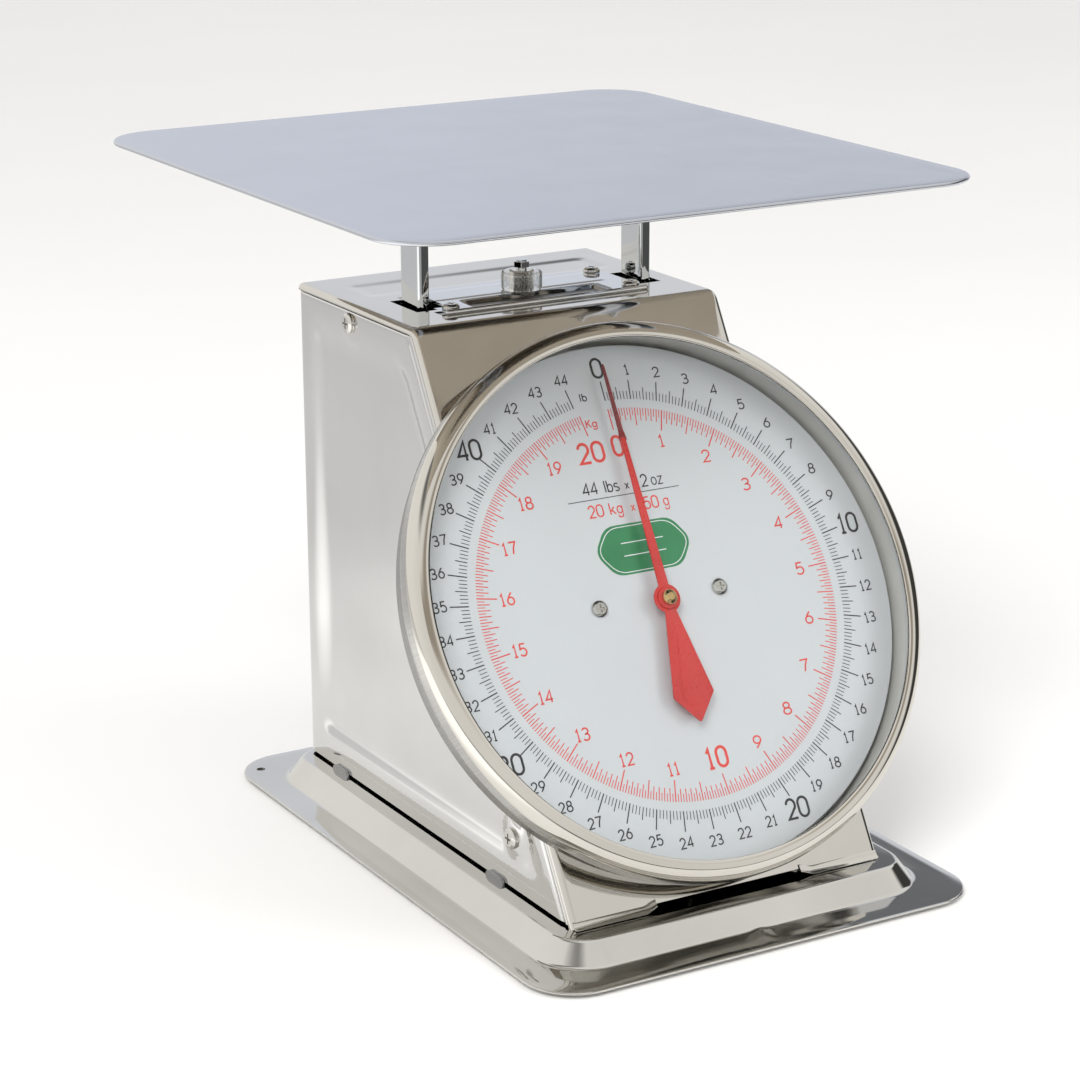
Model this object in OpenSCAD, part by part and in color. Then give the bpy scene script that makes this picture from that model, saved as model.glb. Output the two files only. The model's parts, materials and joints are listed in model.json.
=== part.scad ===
// Top-pan dial spring scale: stainless housing on a pressed base, sloping round dial,
// square weighing platform carried on two posts.
// Millimetres. +Z is up and the dial faces -Y. The origin is on the floor under the middle of the
// object's outline; the dimensions below measure Y from the middle of the base.

/* [Base] */
// Width of the base flange, left to right
base_w = 184.6; // [176:0.2:190]
// Depth of the base flange, front to back
base_d = 262.6; // [256:0.2:270]
// Corner radius of the base flange
base_r = 20; // [16:0.5:24]
// Height of the base's raised deck above the floor
deck_z = 10.8; // [9:0.1:12]
// How far the rubber feet hold the flange off the floor
foot_lift = 1.5; // [1:0.1:2]

/* [Housing] */
// Half the width of the housing
body_hw = 66; // [65:0.1:67]
// Y of the front face where it meets the deck
front_foot_y = -100.7; // [-102:0.1:-99]
// Y of the back face
back_y = 109.3; // [108:0.1:111]
// Height of the top cover above the floor
top_z = 204.4; // [203:0.1:206]
// Slope of the front face and the dial, in degrees from vertical
face_tilt = 30.4; // [30:0.1:31]
// Thickness of the housing sheet
sheet = 0.8; // [0.6:0.1:1]

/* [Dial] */
// Distance from the front face's foot up the slope to the dial's centre
dial_up = 108.3; // [107:0.1:110]
// Distance of the printed face in front of the housing's front face
dial_off = 7.6; // [7:0.1:8]
// Outer radius of the dial's drum
drum_r = 101.7; // [101:0.1:102.5]
// Outer radius of the bezel ring
bezel_r = 104.8; // [104.2:0.1:105.5]
// Radius of the bezel's window
window_r = 97.5; // [96:0.1:98]
// Length of the pointer from its axis to its tip
pointer_l = 90.2; // [88:0.1:92]

/* [Platform] */
// Width of the weighing platform
plat_w = 242.3; // [230:0.1:250]
// Depth of the weighing platform
plat_d = 255.4; // [245:0.1:260]
// Corner radius of the platform
plat_r = 22; // [16:0.5:30]
// Thickness of the platform
plat_t = 1.8; // [1.2:0.1:2.2]
// Height of the platform's top above the floor
plat_top_z = 257.7; // [256:0.1:260]
// Y of the platform's centre
plat_y = 43.7; // [42:0.1:46]

/* [Mechanism] */
// Tooth size (module) of the rack and pinion
gear_m = 0.5; // [0.5:0.05:0.5]
// Teeth on the pinion
pinion_teeth = 12; // [12:1:12]
// Turn of the pointer at full load, in degrees
full_turn = 350.3; // [345:0.1:355]
// Length of the guide arms between their pivots
arm_l = 50; // [48:0.5:51]
// Wire diameter of the weighing springs
wire_d = 2.4; // [2.2:0.1:2.5]
// Mean diameter of the spring coils
coil_d = 12.6; // [12:0.1:13]

/* [Hidden] */
$fn = 64;

// Directions of the sloping face
st = sin(face_tilt);
ct = cos(face_tilt);
base_sheet = 1;
deck_hw = 73.1;
deck_hd = 110;
deck_r = 13;
wall_in = 7.7;
bend_r = 6;
front_top_y = front_foot_y + (top_z - deck_z) * tan(face_tilt);
dial_y = front_foot_y + dial_up * st - dial_off * ct;
dial_z = deck_z + dial_up * ct + dial_off * st;

// Rack travel, platform travel and sideways travel of the drive pin in the rack's slot
pitch_r = gear_m * pinion_teeth / 2;
rack_travel = pitch_r * full_turn * PI / 180;
plat_travel = rack_travel * ct;
slot_travel = rack_travel * st;
tooth_p = PI * gear_m;

// Y of the middle of the whole object's outline, measured from the base's centre
mid_y = (plat_y + plat_d / 2 - base_d / 2) / 2;

// Posts of the carriage
post_y = 48.4;
post_d = 15.4;
post_x = 48.5;
post_t = 1.5;
post_flange = 4.5;
post_low_z = 72;
plat_z = plat_top_z - plat_t;
rail_h = 7;
rail_t = 1.2;

// Springs, hanger and lower bridge
spring_x = 22;
coils = 26.5;
spring_h = coils * wire_d;
eye_r = 4.6;
pin_r = 1.8;
hang_pin_z = 186.5;
eye_drop = pin_r + 0.05 - (eye_r - wire_d / 2);
eye_sink = 0.8;
spring_top_z = hang_pin_z + eye_drop - eye_r - wire_d / 2 + eye_sink;
anchor_pin_z = spring_top_z - spring_h - wire_d / 2 - eye_r + eye_drop + eye_sink;
bridge_z = anchor_pin_z - 8;
bridge_h = 12;
bar_w = 8;
hanger_z = 183;
knob_z = top_z + 1.3;

// Guide arms
arm_x = 41.4;
arm_t = 2;
arm_swing = asin(plat_travel / 2 / arm_l);
arm_back_y = post_y + arm_l * (1 + cos(arm_swing)) / 2;
upper_pin_z = 150;
lower_pin_z = 80;
arm_drop = plat_travel / 2;

// Inner frame
plate_x = 36;
plate_t = 2;
frame_top_z = top_z - sheet - 4;

// Rack
rack_off = -22;
rack_w = 4;
rack_back = 6.6;
slot_v = 42;
drive_pin_r = 1.5;

// ---------- shared shapes ----------

// Moves the object so that the origin is on the floor under the middle of its outline
module at_origin() {
    translate([0, -mid_y, 0]) children();
}

// Places its children on the dial: X across, Y up the slope, Z out towards the reader
module on_dial(off = 0) {
    translate([0, dial_y, dial_z]) rotate([90 - face_tilt, 0, 0]) translate([0, 0, off]) children();
}

// Places its children so that their X, Y and Z become Y, Z and X
module on_side(x = 0) {
    translate([x, 0, 0]) rotate([90, 0, 90]) children();
}

module mirror_pair() {
    children();
    mirror([1, 0, 0]) children();
}

module round_rect(w, d, r) {
    square([w - 2 * r, d], center = true);
    square([w, d - 2 * r], center = true);
    for (x = [-1, 1], y = [-1, 1]) translate([x * (w / 2 - r), y * (d / 2 - r)]) circle(r);
}

module slab(x0, x1, y0, y1, z0, z1) {
    translate([x0, y0, z0]) cube([x1 - x0, y1 - y0, z1 - z0]);
}

// Rounded rectangular block whose four walls lean in by the same amount
module leaning_block(hw, hd, r, lean, h) {
    for (x = [-1, 1], y = [-1, 1])
        translate([x * (hw - r), y * (hd - r), 0]) cylinder(h = h, r1 = r, r2 = r - lean);
    rotate([90, 0, 0])
        linear_extrude(2 * (hd - r), center = true)
            polygon([[-hw, 0], [hw, 0], [hw - lean, h], [lean - hw, h]]);
    rotate([90, 0, 90])
        linear_extrude(2 * (hw - r), center = true)
            polygon([[-hd, 0], [hd, 0], [hd - lean, h], [lean - hd, h]]);
}

// Pan-head screw with a cross recess, head up, shank down
module pan_screw(head_r, head_h, shank_r, shank_l) {
    difference() {
        union() {
            cylinder(h = head_h * 0.6, r = head_r);
            translate([0, 0, head_h * 0.6]) cylinder(h = head_h * 0.4, r1 = head_r, r2 = head_r * 0.7);
            translate([0, 0, -shank_l]) cylinder(h = shank_l + 0.01, r = shank_r);
        }
        for (a = [0, 90])
            rotate([0, 0, a]) translate([-head_r * 0.5, -head_r * 0.09, head_h * 0.45])
                cube([head_r, head_r * 0.18, head_h]);
    }
}

// Points of an arc in the plane
function arc(cx, cy, r, a0, a1, n = 8) =
    [for (i = [0 : n]) [cx + r * cos(a0 + (a1 - a0) * i / n), cy + r * sin(a0 + (a1 - a0) * i / n)]];

// ---------- base ----------

foot_at = [for (x = [-60, 60], y = [-88, 88]) [x, y]];
housing_screw_at = [[-59, -60], [59, -60], [-59, 70], [59, 70], [-35, -91], [35, -91]];
frame_screw_at = [for (x = [-44, 44], y = [36, 98]) [x, y]];
flange_hole_at = [for (x = [-1, 1]) [x * 83.5, 118.5]];
flange_hole_r = 1.75;

module base_tray() color("silver") difference() {
    lean_h = deck_z - foot_lift;
    lean_in = wall_in * (lean_h - base_sheet) / lean_h;
    union() {
        translate([0, 0, foot_lift]) linear_extrude(base_sheet) round_rect(base_w, base_d, base_r);
        translate([0, 0, foot_lift])
            leaning_block(deck_hw + wall_in, deck_hd + wall_in, deck_r + wall_in, wall_in, lean_h);
    }
    translate([0, 0, foot_lift - 0.001])
        leaning_block(deck_hw + wall_in - base_sheet, deck_hd + wall_in - base_sheet,
            deck_r + wall_in - base_sheet, lean_in, lean_h - base_sheet);
    for (p = flange_hole_at) translate([p[0], p[1], 0]) cylinder(h = 5, r = flange_hole_r);
    for (p = concat(foot_at, housing_screw_at, frame_screw_at))
        translate([p[0], p[1], deck_z - 3]) cylinder(h = 5, r = 1.55);
}

module rubber_feet() color("dimgray")
    for (p = foot_at) translate([p[0], p[1], 0]) difference() {
        union() {
            cylinder(h = 1, r1 = 7, r2 = 8);
            translate([0, 0, 1]) cylinder(h = deck_z - base_sheet - 1, r = 8);
        }
        translate([0, 0, 3]) cylinder(h = 10, r = 1.55);
    }

module foot_screws() color("gainsboro")
    for (p = foot_at) translate([p[0], p[1], deck_z]) pan_screw(3.2, 1.6, 1.5, 6);

// ---------- inner frame ----------

module frame_plate() {
    difference() {
        on_side(plate_x) linear_extrude(plate_t) difference() {
            translate([30, deck_z]) square([75, frame_top_z - deck_z]);
            // window that the lower bridge travels in
            translate([post_y - 6.5, bridge_z - plat_travel - 2])
                square([13, bridge_h + plat_travel + 4]);
            // lightening holes
            translate([80, 108]) circle(14);
            translate([68, 40]) circle(15);
            translate([75, 175]) circle(14);
        }
        for (z = [upper_pin_z, lower_pin_z])
            translate([0, arm_back_y, z - arm_drop]) rotate([0, 90, 0]) cylinder(h = 60, r = 3.06);
    }
    difference() {
        slab(plate_x + plate_t, 50, 30, 105, deck_z, deck_z + plate_t);
        for (y = [36, 98]) translate([44, y, deck_z - 1]) cylinder(h = 5, r = 1.55);
    }
}

module left_frame_plate() color("darkgray") mirror([1, 0, 0]) frame_plate();

module right_frame_plate() color("darkgray") frame_plate();

module frame_screws() color("gainsboro")
    for (p = frame_screw_at) translate([p[0], p[1], deck_z + plate_t]) pan_screw(3.2, 1.6, 1.5, 5);

plate_screw_at = [for (x = [-39.3, 39.3], y = [32.8, 62]) [x, y]];

module top_bridge() color("darkgray") difference() {
    union() {
        slab(-43, 43, 26, 36.5, frame_top_z, frame_top_z + 4);
        slab(-43, 43, 59.9, 68, frame_top_z, frame_top_z + 4);
        slab(-30, 30, 36, 60, frame_top_z, frame_top_z + 4);
    }
    for (p = plate_screw_at) translate([p[0], p[1], 190]) cylinder(h = 20, r = 1.55);
    translate([0, post_y, 190]) cylinder(h = 20, r = 2.4);
}

module stop_bar() color("darkgray")
    slab(-plate_x, plate_x, post_y - 4, post_y + 4, bridge_z - plat_travel - 10, bridge_z - plat_travel - 4);

module stop_pad() color("dimgray")
    translate([0, post_y, bridge_z - plat_travel - 4]) cylinder(h = 3.7, r = 3.8);

// ---------- housing ----------

front_bend = (90 - face_tilt) / 2;

// Outline of the housing seen from the side, moved inwards by d
function front_y(z, d = 0) = front_foot_y + (z - deck_z) * tan(face_tilt) + d / ct;
bend_y = front_top_y + bend_r * tan(front_bend);

module front_cover_sheet(y_end, z_foot) {
    centre = [bend_y, top_z - bend_r];
    outer = arc(centre[0], centre[1], bend_r, 90, 180 - face_tilt);
    inner = arc(centre[0], centre[1], bend_r - sheet, 180 - face_tilt, 90);
    polygon(concat([[y_end, top_z]], outer, [[front_y(z_foot), z_foot]],
        [[front_y(z_foot, sheet), z_foot]], inner, [[y_end, top_z - sheet]]));
}

module front_cover_lip(y_end, z_foot, depth) {
    centre = [bend_y, top_z - bend_r];
    outer = arc(centre[0], centre[1], bend_r, 90, 180 - face_tilt);
    inner = arc(centre[0], centre[1], bend_r - depth, 180 - face_tilt, 90);
    polygon(concat([[y_end, top_z]], outer, [[front_y(z_foot), z_foot]],
        [[front_y(z_foot, depth), z_foot]], inner, [[y_end, top_z - depth]]));
}

module front_cover() color("gainsboro") difference() {
    union() {
        on_side(-body_hw) linear_extrude(2 * body_hw) front_cover_sheet(back_y, deck_z + 0.6);
        for (x = [-body_hw, body_hw - sheet])
            on_side(x) linear_extrude(sheet) front_cover_lip(back_y, deck_z + 0.6, 2.5);
        slab(-45, 45, -99.6, -86, deck_z, deck_z + sheet);
    }
    for (p = housing_screw_at) translate([p[0], p[1], deck_z - 1]) cylinder(h = 4, r = 1.55);
    // slots that the posts travel in
    slab(-51, -38, 37.5, 59.5, top_z - 5, top_z + 1);
    slab(46.3, 56, 37.5, 59.5, top_z - 5, top_z + 1);
    // opening over the hanger
    slab(-28, 28, 32.5, 42, top_z - 5, top_z + 1);
    translate([0, post_y, top_z - 5]) cylinder(h = 10, r = 2.6);
    for (p = plate_screw_at) translate([p[0], p[1], top_z - 5]) cylinder(h = 10, r = 1.6);
    // holes for the dial's shaft and screws
    on_dial(-dial_off - 5) cylinder(h = 10, r = 6);
    for (p = dial_screw_at) on_dial(-dial_off - 5) translate([p[0], p[1], 0]) cylinder(h = 10, r = 1.55);
}

side_screw_at = [[63.7, 197], [-58, 31.2]];
rear_screw_at = [[-57, 30], [57, 30], [-57, 186], [57, 186]];
corner_r = 5;

// Side panel with a rounded rear edge that turns onto the back
module side_panel() {
    low = deck_z;
    high = top_z - 2.8;
    difference() {
        union() {
            on_side(body_hw - sheet) linear_extrude(sheet)
                polygon([[front_y(low, 2.8), low], [back_y - corner_r, low],
                    [back_y - corner_r, high], [front_y(high, 2.8), high]]);
            translate([body_hw - corner_r, back_y - corner_r, low])
                rotate_extrude(angle = 90) translate([corner_r - sheet, 0]) square([sheet, high - low]);
            slab(54, body_hw - corner_r, back_y - sheet, back_y, low, high);
            slab(52.5, body_hw - sheet / 2, -78, 80, low, low + sheet);
        }
        for (p = side_screw_at) translate([50, p[0], p[1]]) rotate([0, 90, 0]) cylinder(h = 30, r = 1.6);
        for (p = rear_screw_at) translate([p[0], 100, p[1]]) rotate([-90, 0, 0]) cylinder(h = 20, r = 1.6);
        for (p = housing_screw_at) translate([p[0], p[1], deck_z - 1]) cylinder(h = 4, r = 1.55);
    }
}

module left_side_panel() color("gainsboro") mirror([1, 0, 0]) side_panel();

module right_side_panel() color("gainsboro") side_panel();

module rear_panel() color("silver") difference() {
    slab(-59.5, 59.5, back_y - 2 * sheet, back_y - sheet, deck_z + 1, top_z - sheet - 0.5);
    for (p = rear_screw_at) translate([p[0], 100, p[1]]) rotate([-90, 0, 0]) cylinder(h = 20, r = 1.6);
}

module housing_screws() color("gainsboro")
    for (p = housing_screw_at) translate([p[0], p[1], deck_z + sheet]) pan_screw(3.2, 1.6, 1.5, 4);

module side_screws() color("gainsboro") mirror_pair()
    for (p = side_screw_at) translate([body_hw, p[0], p[1]]) rotate([0, 90, 0]) pan_screw(4, 2, 1.5, 5);

module rear_screws() color("gainsboro")
    for (p = rear_screw_at) translate([p[0], back_y, p[1]]) rotate([-90, 0, 0]) pan_screw(3.5, 1.8, 1.5, 5);

module hanger_plate() color("silver") difference() {
    union() {
        slab(-44, 44, 28, 67, top_z, top_z + 1);
        translate([-44, 28, top_z + 1]) rotate([0, 90, 0]) cylinder(h = 88, r = 1);
    }
    slab(-51, -38, 37.5, 59.5, top_z - 1, top_z + 2);
    slab(-28, 28, 32.5, 42, top_z - 1, top_z + 2);
    translate([0, post_y, top_z - 1]) cylinder(h = 5, r = 2.6);
    for (p = plate_screw_at) translate([p[0], p[1], top_z - 1]) cylinder(h = 5, r = 1.6);
    slab(-50, 50, 20, 40, top_z - 5, top_z);
}

module plate_screws() color("gainsboro")
    for (p = plate_screw_at) translate([p[0], p[1], top_z + 1]) pan_screw(3.4, 2, 1.5, 5.6);

// ---------- dial ----------

dial_screw_at = [[-25.8, 1.4], [25.8, 1.4]];

module dial_holes(r) {
    for (p = dial_screw_at) translate([p[0], p[1], -30]) cylinder(h = 60, r = r);
}

module dial_drum() color("gainsboro") on_dial(-dial_off) rotate_extrude($fn = 128)
    translate([drum_r - 1, 0]) square([1, dial_off + 8.2]);

module dial_back() color("silver") on_dial() difference() {
    translate([0, 0, -dial_off]) cylinder(h = 1, r = drum_r - 1, $fn = 128);
    translate([0, 0, -20]) cylinder(h = 30, r = 6);
    dial_holes(1.55);
}

module dial_plate() color("white") on_dial() difference() {
    translate([0, 0, -1]) cylinder(h = 1, r = 98.5, $fn = 128);
    translate([0, 0, -20]) cylinder(h = 30, r = 4);
    dial_holes(1.55);
}

module dial_pillars() color("silver") on_dial() difference() {
    for (p = dial_screw_at) {
        translate([p[0], p[1], 1 - dial_off]) cylinder(h = dial_off - 2, r = 4);
        translate([p[0], p[1], -12.5]) cylinder(h = 12.5 - dial_off - sheet, r = 4);
    }
    dial_holes(1.55);
}

module dial_screws() color("gainsboro") on_dial()
    for (p = dial_screw_at) translate([p[0], p[1], 0]) pan_screw(3.1, 1.4, 1.5, 16);

module lens_gasket() color("dimgray") on_dial(8.3) rotate_extrude($fn = 128)
    translate([99.2, 0]) square([2.4, 1.5]);

module lens() color("lightblue") on_dial(9.9) cylinder(h = 2, r = 101.5, $fn = 128);

module bezel() color("silver") on_dial() rotate_extrude($fn = 128)
    polygon(concat([[bezel_r - 1, 2.5], [bezel_r, 2.5]], arc(bezel_r - 5.4, 8.4, 5.4, 0, 90, 8),
        [[window_r, 13.2], [window_r, 12], [101.8, 12], [101.8, 8.3], [102, 8.3], [102, 3.5]]));

// ---------- movement ----------

movement_pillar_at = [for (x = [-24, 24], v = [-16, 10]) [x, v]];

module movement_plate() {
    difference() {
        translate([-30, -20, 0]) cube([60, 34, 1.5]);
        translate([0, 0, -1]) cylinder(h = 4, r = 1.56);
        for (p = concat(movement_pillar_at, rack_guide_at))
            translate([p[0], p[1], -1]) cylinder(h = 4, r = 1.05);
    }
}

module movement_front_plate() color("goldenrod") on_dial(-14) difference() {
    movement_plate();
    dial_holes(1.55);
}

module movement_rear_plate() color("goldenrod") on_dial(-32) movement_plate();

// Shouldered pin held between the two movement plates
module shouldered_pin(r) {
    translate([0, 0, -30.5]) cylinder(h = 16.5, r = r);
    translate([0, 0, -32]) cylinder(h = 19.5, r = 1);
}

module movement_pillars() color("darkkhaki") on_dial()
    for (p = movement_pillar_at) translate([p[0], p[1], 0]) shouldered_pin(2.5);

rack_guide_at = [for (v = [-9, 9]) [rack_back + 0.1 + 1.8, v]];

module rack_guides() color("darkkhaki") on_dial()
    for (p = rack_guide_at) translate([p[0], p[1], 0]) shouldered_pin(1.8);

// ---------- springs ----------

// Close-wound extension spring drawn as touching rings, with an eye at each end
function coil_side(sign) =
    [for (i = [0 : floor(coils) - 1], a = [60 : -30 : -60])
        [coil_d / 2 + sign * wire_d / 2 * cos(a), spring_top_z + wire_d * (sin(a) / 2 - i - 0.5)]];

function reversed(list) = [for (i = [len(list) - 1 : -1 : 0]) list[i]];

module spring() {
    translate([spring_x, post_y, 0]) {
        rotate_extrude($fn = 48) polygon(concat(coil_side(1), reversed(coil_side(-1))));
        for (z = [hang_pin_z + eye_drop, anchor_pin_z - eye_drop])
            translate([0, 0, z]) rotate([90, 0, 0]) rotate_extrude($fn = 48)
                translate([eye_r, 0]) circle(wire_d / 2, $fn = 24);
        // crossbars that join each eye to its end coil
        for (z = [spring_top_z - wire_d / 2, spring_top_z - spring_h + wire_d / 2])
            translate([-coil_d / 2, 0, z]) rotate([0, 90, 0]) cylinder(h = coil_d, r = 0.4 * wire_d);
    }
}

module left_spring() color("slategray") mirror([1, 0, 0]) spring();

module right_spring() color("slategray") spring();

// ---------- carriage ----------

// Upright channel: a web with two short flanges towards +X
module post() {
    difference() {
        union() {
            slab(0, post_t, post_y - post_d / 2, post_y + post_d / 2, post_low_z, plat_z - rail_t);
            for (y = [post_y - post_d / 2, post_y + post_d / 2 - post_t])
                slab(0, post_flange, y, y + post_t, post_low_z, plat_z - rail_t);
        }
        for (z = [lower_pin_z, upper_pin_z])
            translate([-5, post_y, z]) rotate([0, 90, 0]) cylinder(h = 15, r = 1.8);
    }
}

module left_post() color("silver") translate([-post_x, 0, 0]) post();

module right_post() color("silver") translate([post_x, 0, 0]) post();

// Shouldered pivot pins that carry the guide arms on the posts
module post_rivets() color("darkkhaki")
    for (z = [lower_pin_z, upper_pin_z]) {
        translate([-post_x - 1, post_y, z]) rotate([0, 90, 0]) {
            cylinder(h = 1, r = 3);
            cylinder(h = 9.6, r = 1.75);
            translate([0, 0, 2.5]) cylinder(h = 7.6, r = 2);
        }
        translate([post_x + post_t + 1, post_y, z]) rotate([0, -90, 0]) {
            cylinder(h = 1, r = 3);
            cylinder(h = 9.6, r = 1.75);
            translate([0, 0, 2.5]) cylinder(h = 8.6, r = 2);
        }
    }

// Ends of a bar that the spring eyes hang in, and the holes for their pins
module fork_cuts(z0, z1, pin_z) {
    for (s = [-1, 1]) {
        slab(s * spring_x - 6.6, s * spring_x + 6.6, post_y - 1.6, post_y + 1.6, z0, z1);
        translate([s * spring_x, post_y + 10, pin_z]) rotate([90, 0, 0]) cylinder(h = 20, r = pin_r);
    }
}

module lower_bridge() color("darkgray") difference() {
    slab(-post_x + post_t, post_x, post_y - bar_w / 2, post_y + bar_w / 2, bridge_z, bridge_z + bridge_h);
    fork_cuts(bridge_z + 1, bridge_z + bridge_h + 1, anchor_pin_z);
}

module eye_pins(z) {
    for (s = [-1, 1])
        translate([s * spring_x, post_y + bar_w / 2, z]) rotate([90, 0, 0]) cylinder(h = bar_w, r = pin_r - 0.04);
}

module spring_pins() color("darkkhaki") eye_pins(anchor_pin_z);

// Drive pin's place at no load, worked out from the slot's front end in the rack
pin_off = rack_off + slot_travel * ct / 2;
pin_y = dial_y + slot_v * st - pin_off * ct;
pin_z = dial_z + slot_v * ct + pin_off * st;
drive_x = 7;
drive_t = 2;

module drive_arm() color("darkgray") difference() {
    union() {
        on_side(drive_x) linear_extrude(drive_t) difference() {
            union() {
                polygon([[pin_y - 3, pin_z - 2.5], [pin_y, pin_z - 4], [12, 106], [post_y - bar_w / 2, bridge_z],
                    [post_y - bar_w / 2, bridge_z + bridge_h], [20, 122], [pin_y + 3, pin_z + 3]]);
                translate([pin_y, pin_z]) circle(4);
            }
            translate([pin_y, pin_z]) circle(drive_pin_r + 0.01);
        }
        slab(drive_x, drive_x + 12, post_y - bar_w / 2 - drive_t, post_y - bar_w / 2,
            bridge_z, bridge_z + bridge_h);
    }
}

module drive_pin() color("darkkhaki")
    translate([rack_back - 4, pin_y, pin_z]) rotate([0, 90, 0]) {
        cylinder(h = drive_x + drive_t - rack_back + 4, r = drive_pin_r);
        translate([0, 0, drive_x + drive_t - rack_back + 4]) cylinder(h = 0.8, r = 2.4);
    }

// ---------- platform ----------

module platform() color("lightsteelblue")
    translate([0, plat_y, plat_z]) linear_extrude(plat_t) round_rect(plat_w, plat_d, plat_r);

// Inverted channel under the platform that sits over a post
module rail(x) {
    slab(x - 8, x + 8, post_y - 85, post_y + 85, plat_z - rail_t, plat_z);
    for (s = [-8, 8 - rail_t])
        slab(x + s, x + s + rail_t, post_y - 85, post_y + 85, plat_z - rail_h, plat_z - rail_t);
}

module left_rail() color("silver") rail(post_flange / 2 - post_x);

module right_rail() color("silver") rail(post_flange / 2 + post_x);

// ---------- rack, pinion and pointer ----------

backlash = 0.10;
rack_add = 0.6 * gear_m;
rack_ded = 1.2 * gear_m;
pinion_add = 0.9 * gear_m;
pinion_ded = 0.95 * gear_m;

rack_root = pitch_r + rack_ded;
rack_low = -7;
rack_high = slot_v + 2;

// Outline of one rack tooth, upwards from its lower root
function rack_tooth(v) =
    let (half = tooth_p / 4 - backlash / 2, lean = tan(20))
    [[rack_root, v - half - rack_ded * lean], [pitch_r - rack_add, v - half + rack_add * lean],
        [pitch_r - rack_add, v + half - rack_add * lean], [rack_root, v + half + rack_ded * lean]];

module rack() color("goldenrod") difference() {
    union() {
        on_dial(rack_off - rack_w / 2) linear_extrude(rack_w)
            polygon(concat([[rack_back, rack_high], [rack_back, rack_low], [rack_root, rack_low]],
                [for (i = [-4 : 15], p = rack_tooth((i + 0.5) * tooth_p)) p], [[rack_root, rack_high]]));
        drive_slot(rack_root, rack_back, drive_pin_r + 3);
    }
    drive_slot(0, 20, drive_pin_r + 0.08);
}

// Level slot in the rack's head that the drive pin works in, or the head round it, with r on each side of the pin
module drive_slot(x0, x1, r)
    slab(x0, x1, pin_y - r, pin_y + slot_travel + r, pin_z - r, pin_z + r);

// One pinion tooth: half-angles at the root, the pitch circle and the tip
module pinion_tooth(a) {
    root_r = pitch_r - pinion_ded;
    tip_r = pitch_r + pinion_add;
    a_pitch = 90 / pinion_teeth - backlash / 2 / pitch_r * 180 / PI;
    a_root = a_pitch + 1.2;
    a_tip = a_pitch - 4.6;
    function at(r, t) = [r * cos(a + t), r * sin(a + t)];
    polygon([[0, 0], at(root_r, -a_root), at(pitch_r, -a_pitch), at(tip_r, -a_tip),
        at(tip_r, a_tip), at(pitch_r, a_pitch), at(root_r, a_root)]);
}

module pinion() color("gold") on_dial(rack_off - 3) linear_extrude(6) difference() {
    union() {
        circle(pitch_r - pinion_ded);
        for (i = [0 : pinion_teeth - 1]) pinion_tooth(i * 360 / pinion_teeth);
    }
    circle(1.5);
}

module pinion_arbor() color("darkkhaki") on_dial(-33.5) {
    cylinder(h = 37.6, r = 1.5);
    translate([0, 0, 37.6]) cylinder(h = 3, r = 1.2);
}

blade_off = 4.5;
blade_t = 0.6;

module pointer() color("crimson") on_dial(blade_off) difference() {
    union() {
        linear_extrude(blade_t) {
            polygon([[-2.6, 0], [-0.7, pointer_l - 8], [-0.3, pointer_l], [0.3, pointer_l],
                [0.7, pointer_l - 8], [2.6, 0]]);
            circle(5.4);
            polygon([[-2.4, 0], [2.4, 0], [8.7, -36.5], [0, -46.4], [-8.7, -36.5]]);
        }
        cylinder(h = 1.6, r = 4.2);
    }
    translate([0, 0, -1]) cylinder(h = 4, r = 1.21);
}

module arbor_nut() color("gold") on_dial(blade_off + 1.6) difference() {
    union() {
        cylinder(h = 1.4, r = 2.8);
        translate([0, 0, 1.4]) cylinder(h = 0.8, r1 = 2.6, r2 = 1.4);
    }
    translate([0, 0, -1]) cylinder(h = 2.2, r = 1.21);
}

// ---------- guide arms ----------

// Fork of two bars on a common shaft; the bars hold the carriage upright
module guide_arm(pin_z) {
    translate([0, arm_back_y, pin_z - arm_drop]) {
        translate([-arm_x - arm_t, 0, 0]) rotate([0, 90, 0]) cylinder(h = 2 * (arm_x + arm_t), r = 3);
        for (s = [-arm_x - arm_t, arm_x]) difference() {
            rotate([-arm_swing, 0, 0]) union() {
                translate([s, 0, 0]) rotate([0, 90, 0]) cylinder(h = arm_t, r = 5);
                translate([s, -arm_l, 0]) rotate([0, 90, 0]) cylinder(h = arm_t, r = 5);
                translate([s, -arm_l, -5]) cube([arm_t, arm_l, 10]);
            }
            rotate([-arm_swing, 0, 0]) for (d = [-0.4, 0.4])
                translate([s - 1, d - arm_l, 0]) rotate([0, 90, 0]) cylinder(h = arm_t + 2, r = 2.08);
            rotate([-arm_swing, 0, 0]) translate([s - 1, -0.4 - arm_l, -2.08]) cube([arm_t + 2, 0.8, 4.16]);
        }
    }
}

module upper_guide_arm() color("silver") guide_arm(upper_pin_z);

module lower_guide_arm() color("silver") guide_arm(lower_pin_z);

// ---------- zero adjustment ----------

knob_h = 7;

module hanger_screw() color("silver") translate([0, post_y, 0]) {
    translate([0, 0, hanger_z - 3]) cylinder(h = 3, r = 3.6, $fn = 6);
    translate([0, 0, hanger_z - 0.1]) cylinder(h = knob_z + knob_h + 4.5 - hanger_z, r = 2);
}

module hanger_bar() color("darkgray") difference() {
    slab(-31, 31, post_y - bar_w / 2, post_y + bar_w / 2, hanger_z, hanger_z + 7);
    fork_cuts(hanger_z - 1, hanger_z + 8, hang_pin_z);
    translate([0, post_y, hanger_z - 1]) cylinder(h = 10, r = 2.02);
}

module hanger_pins() color("darkkhaki") eye_pins(hang_pin_z);

module screw_nut() color("silver") translate([0, post_y, knob_z + knob_h + 1.6]) difference() {
    cylinder(h = 2.2, r = 3.4, $fn = 6);
    translate([0, 0, -1]) cylinder(h = 5, r = 2.02);
}

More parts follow.
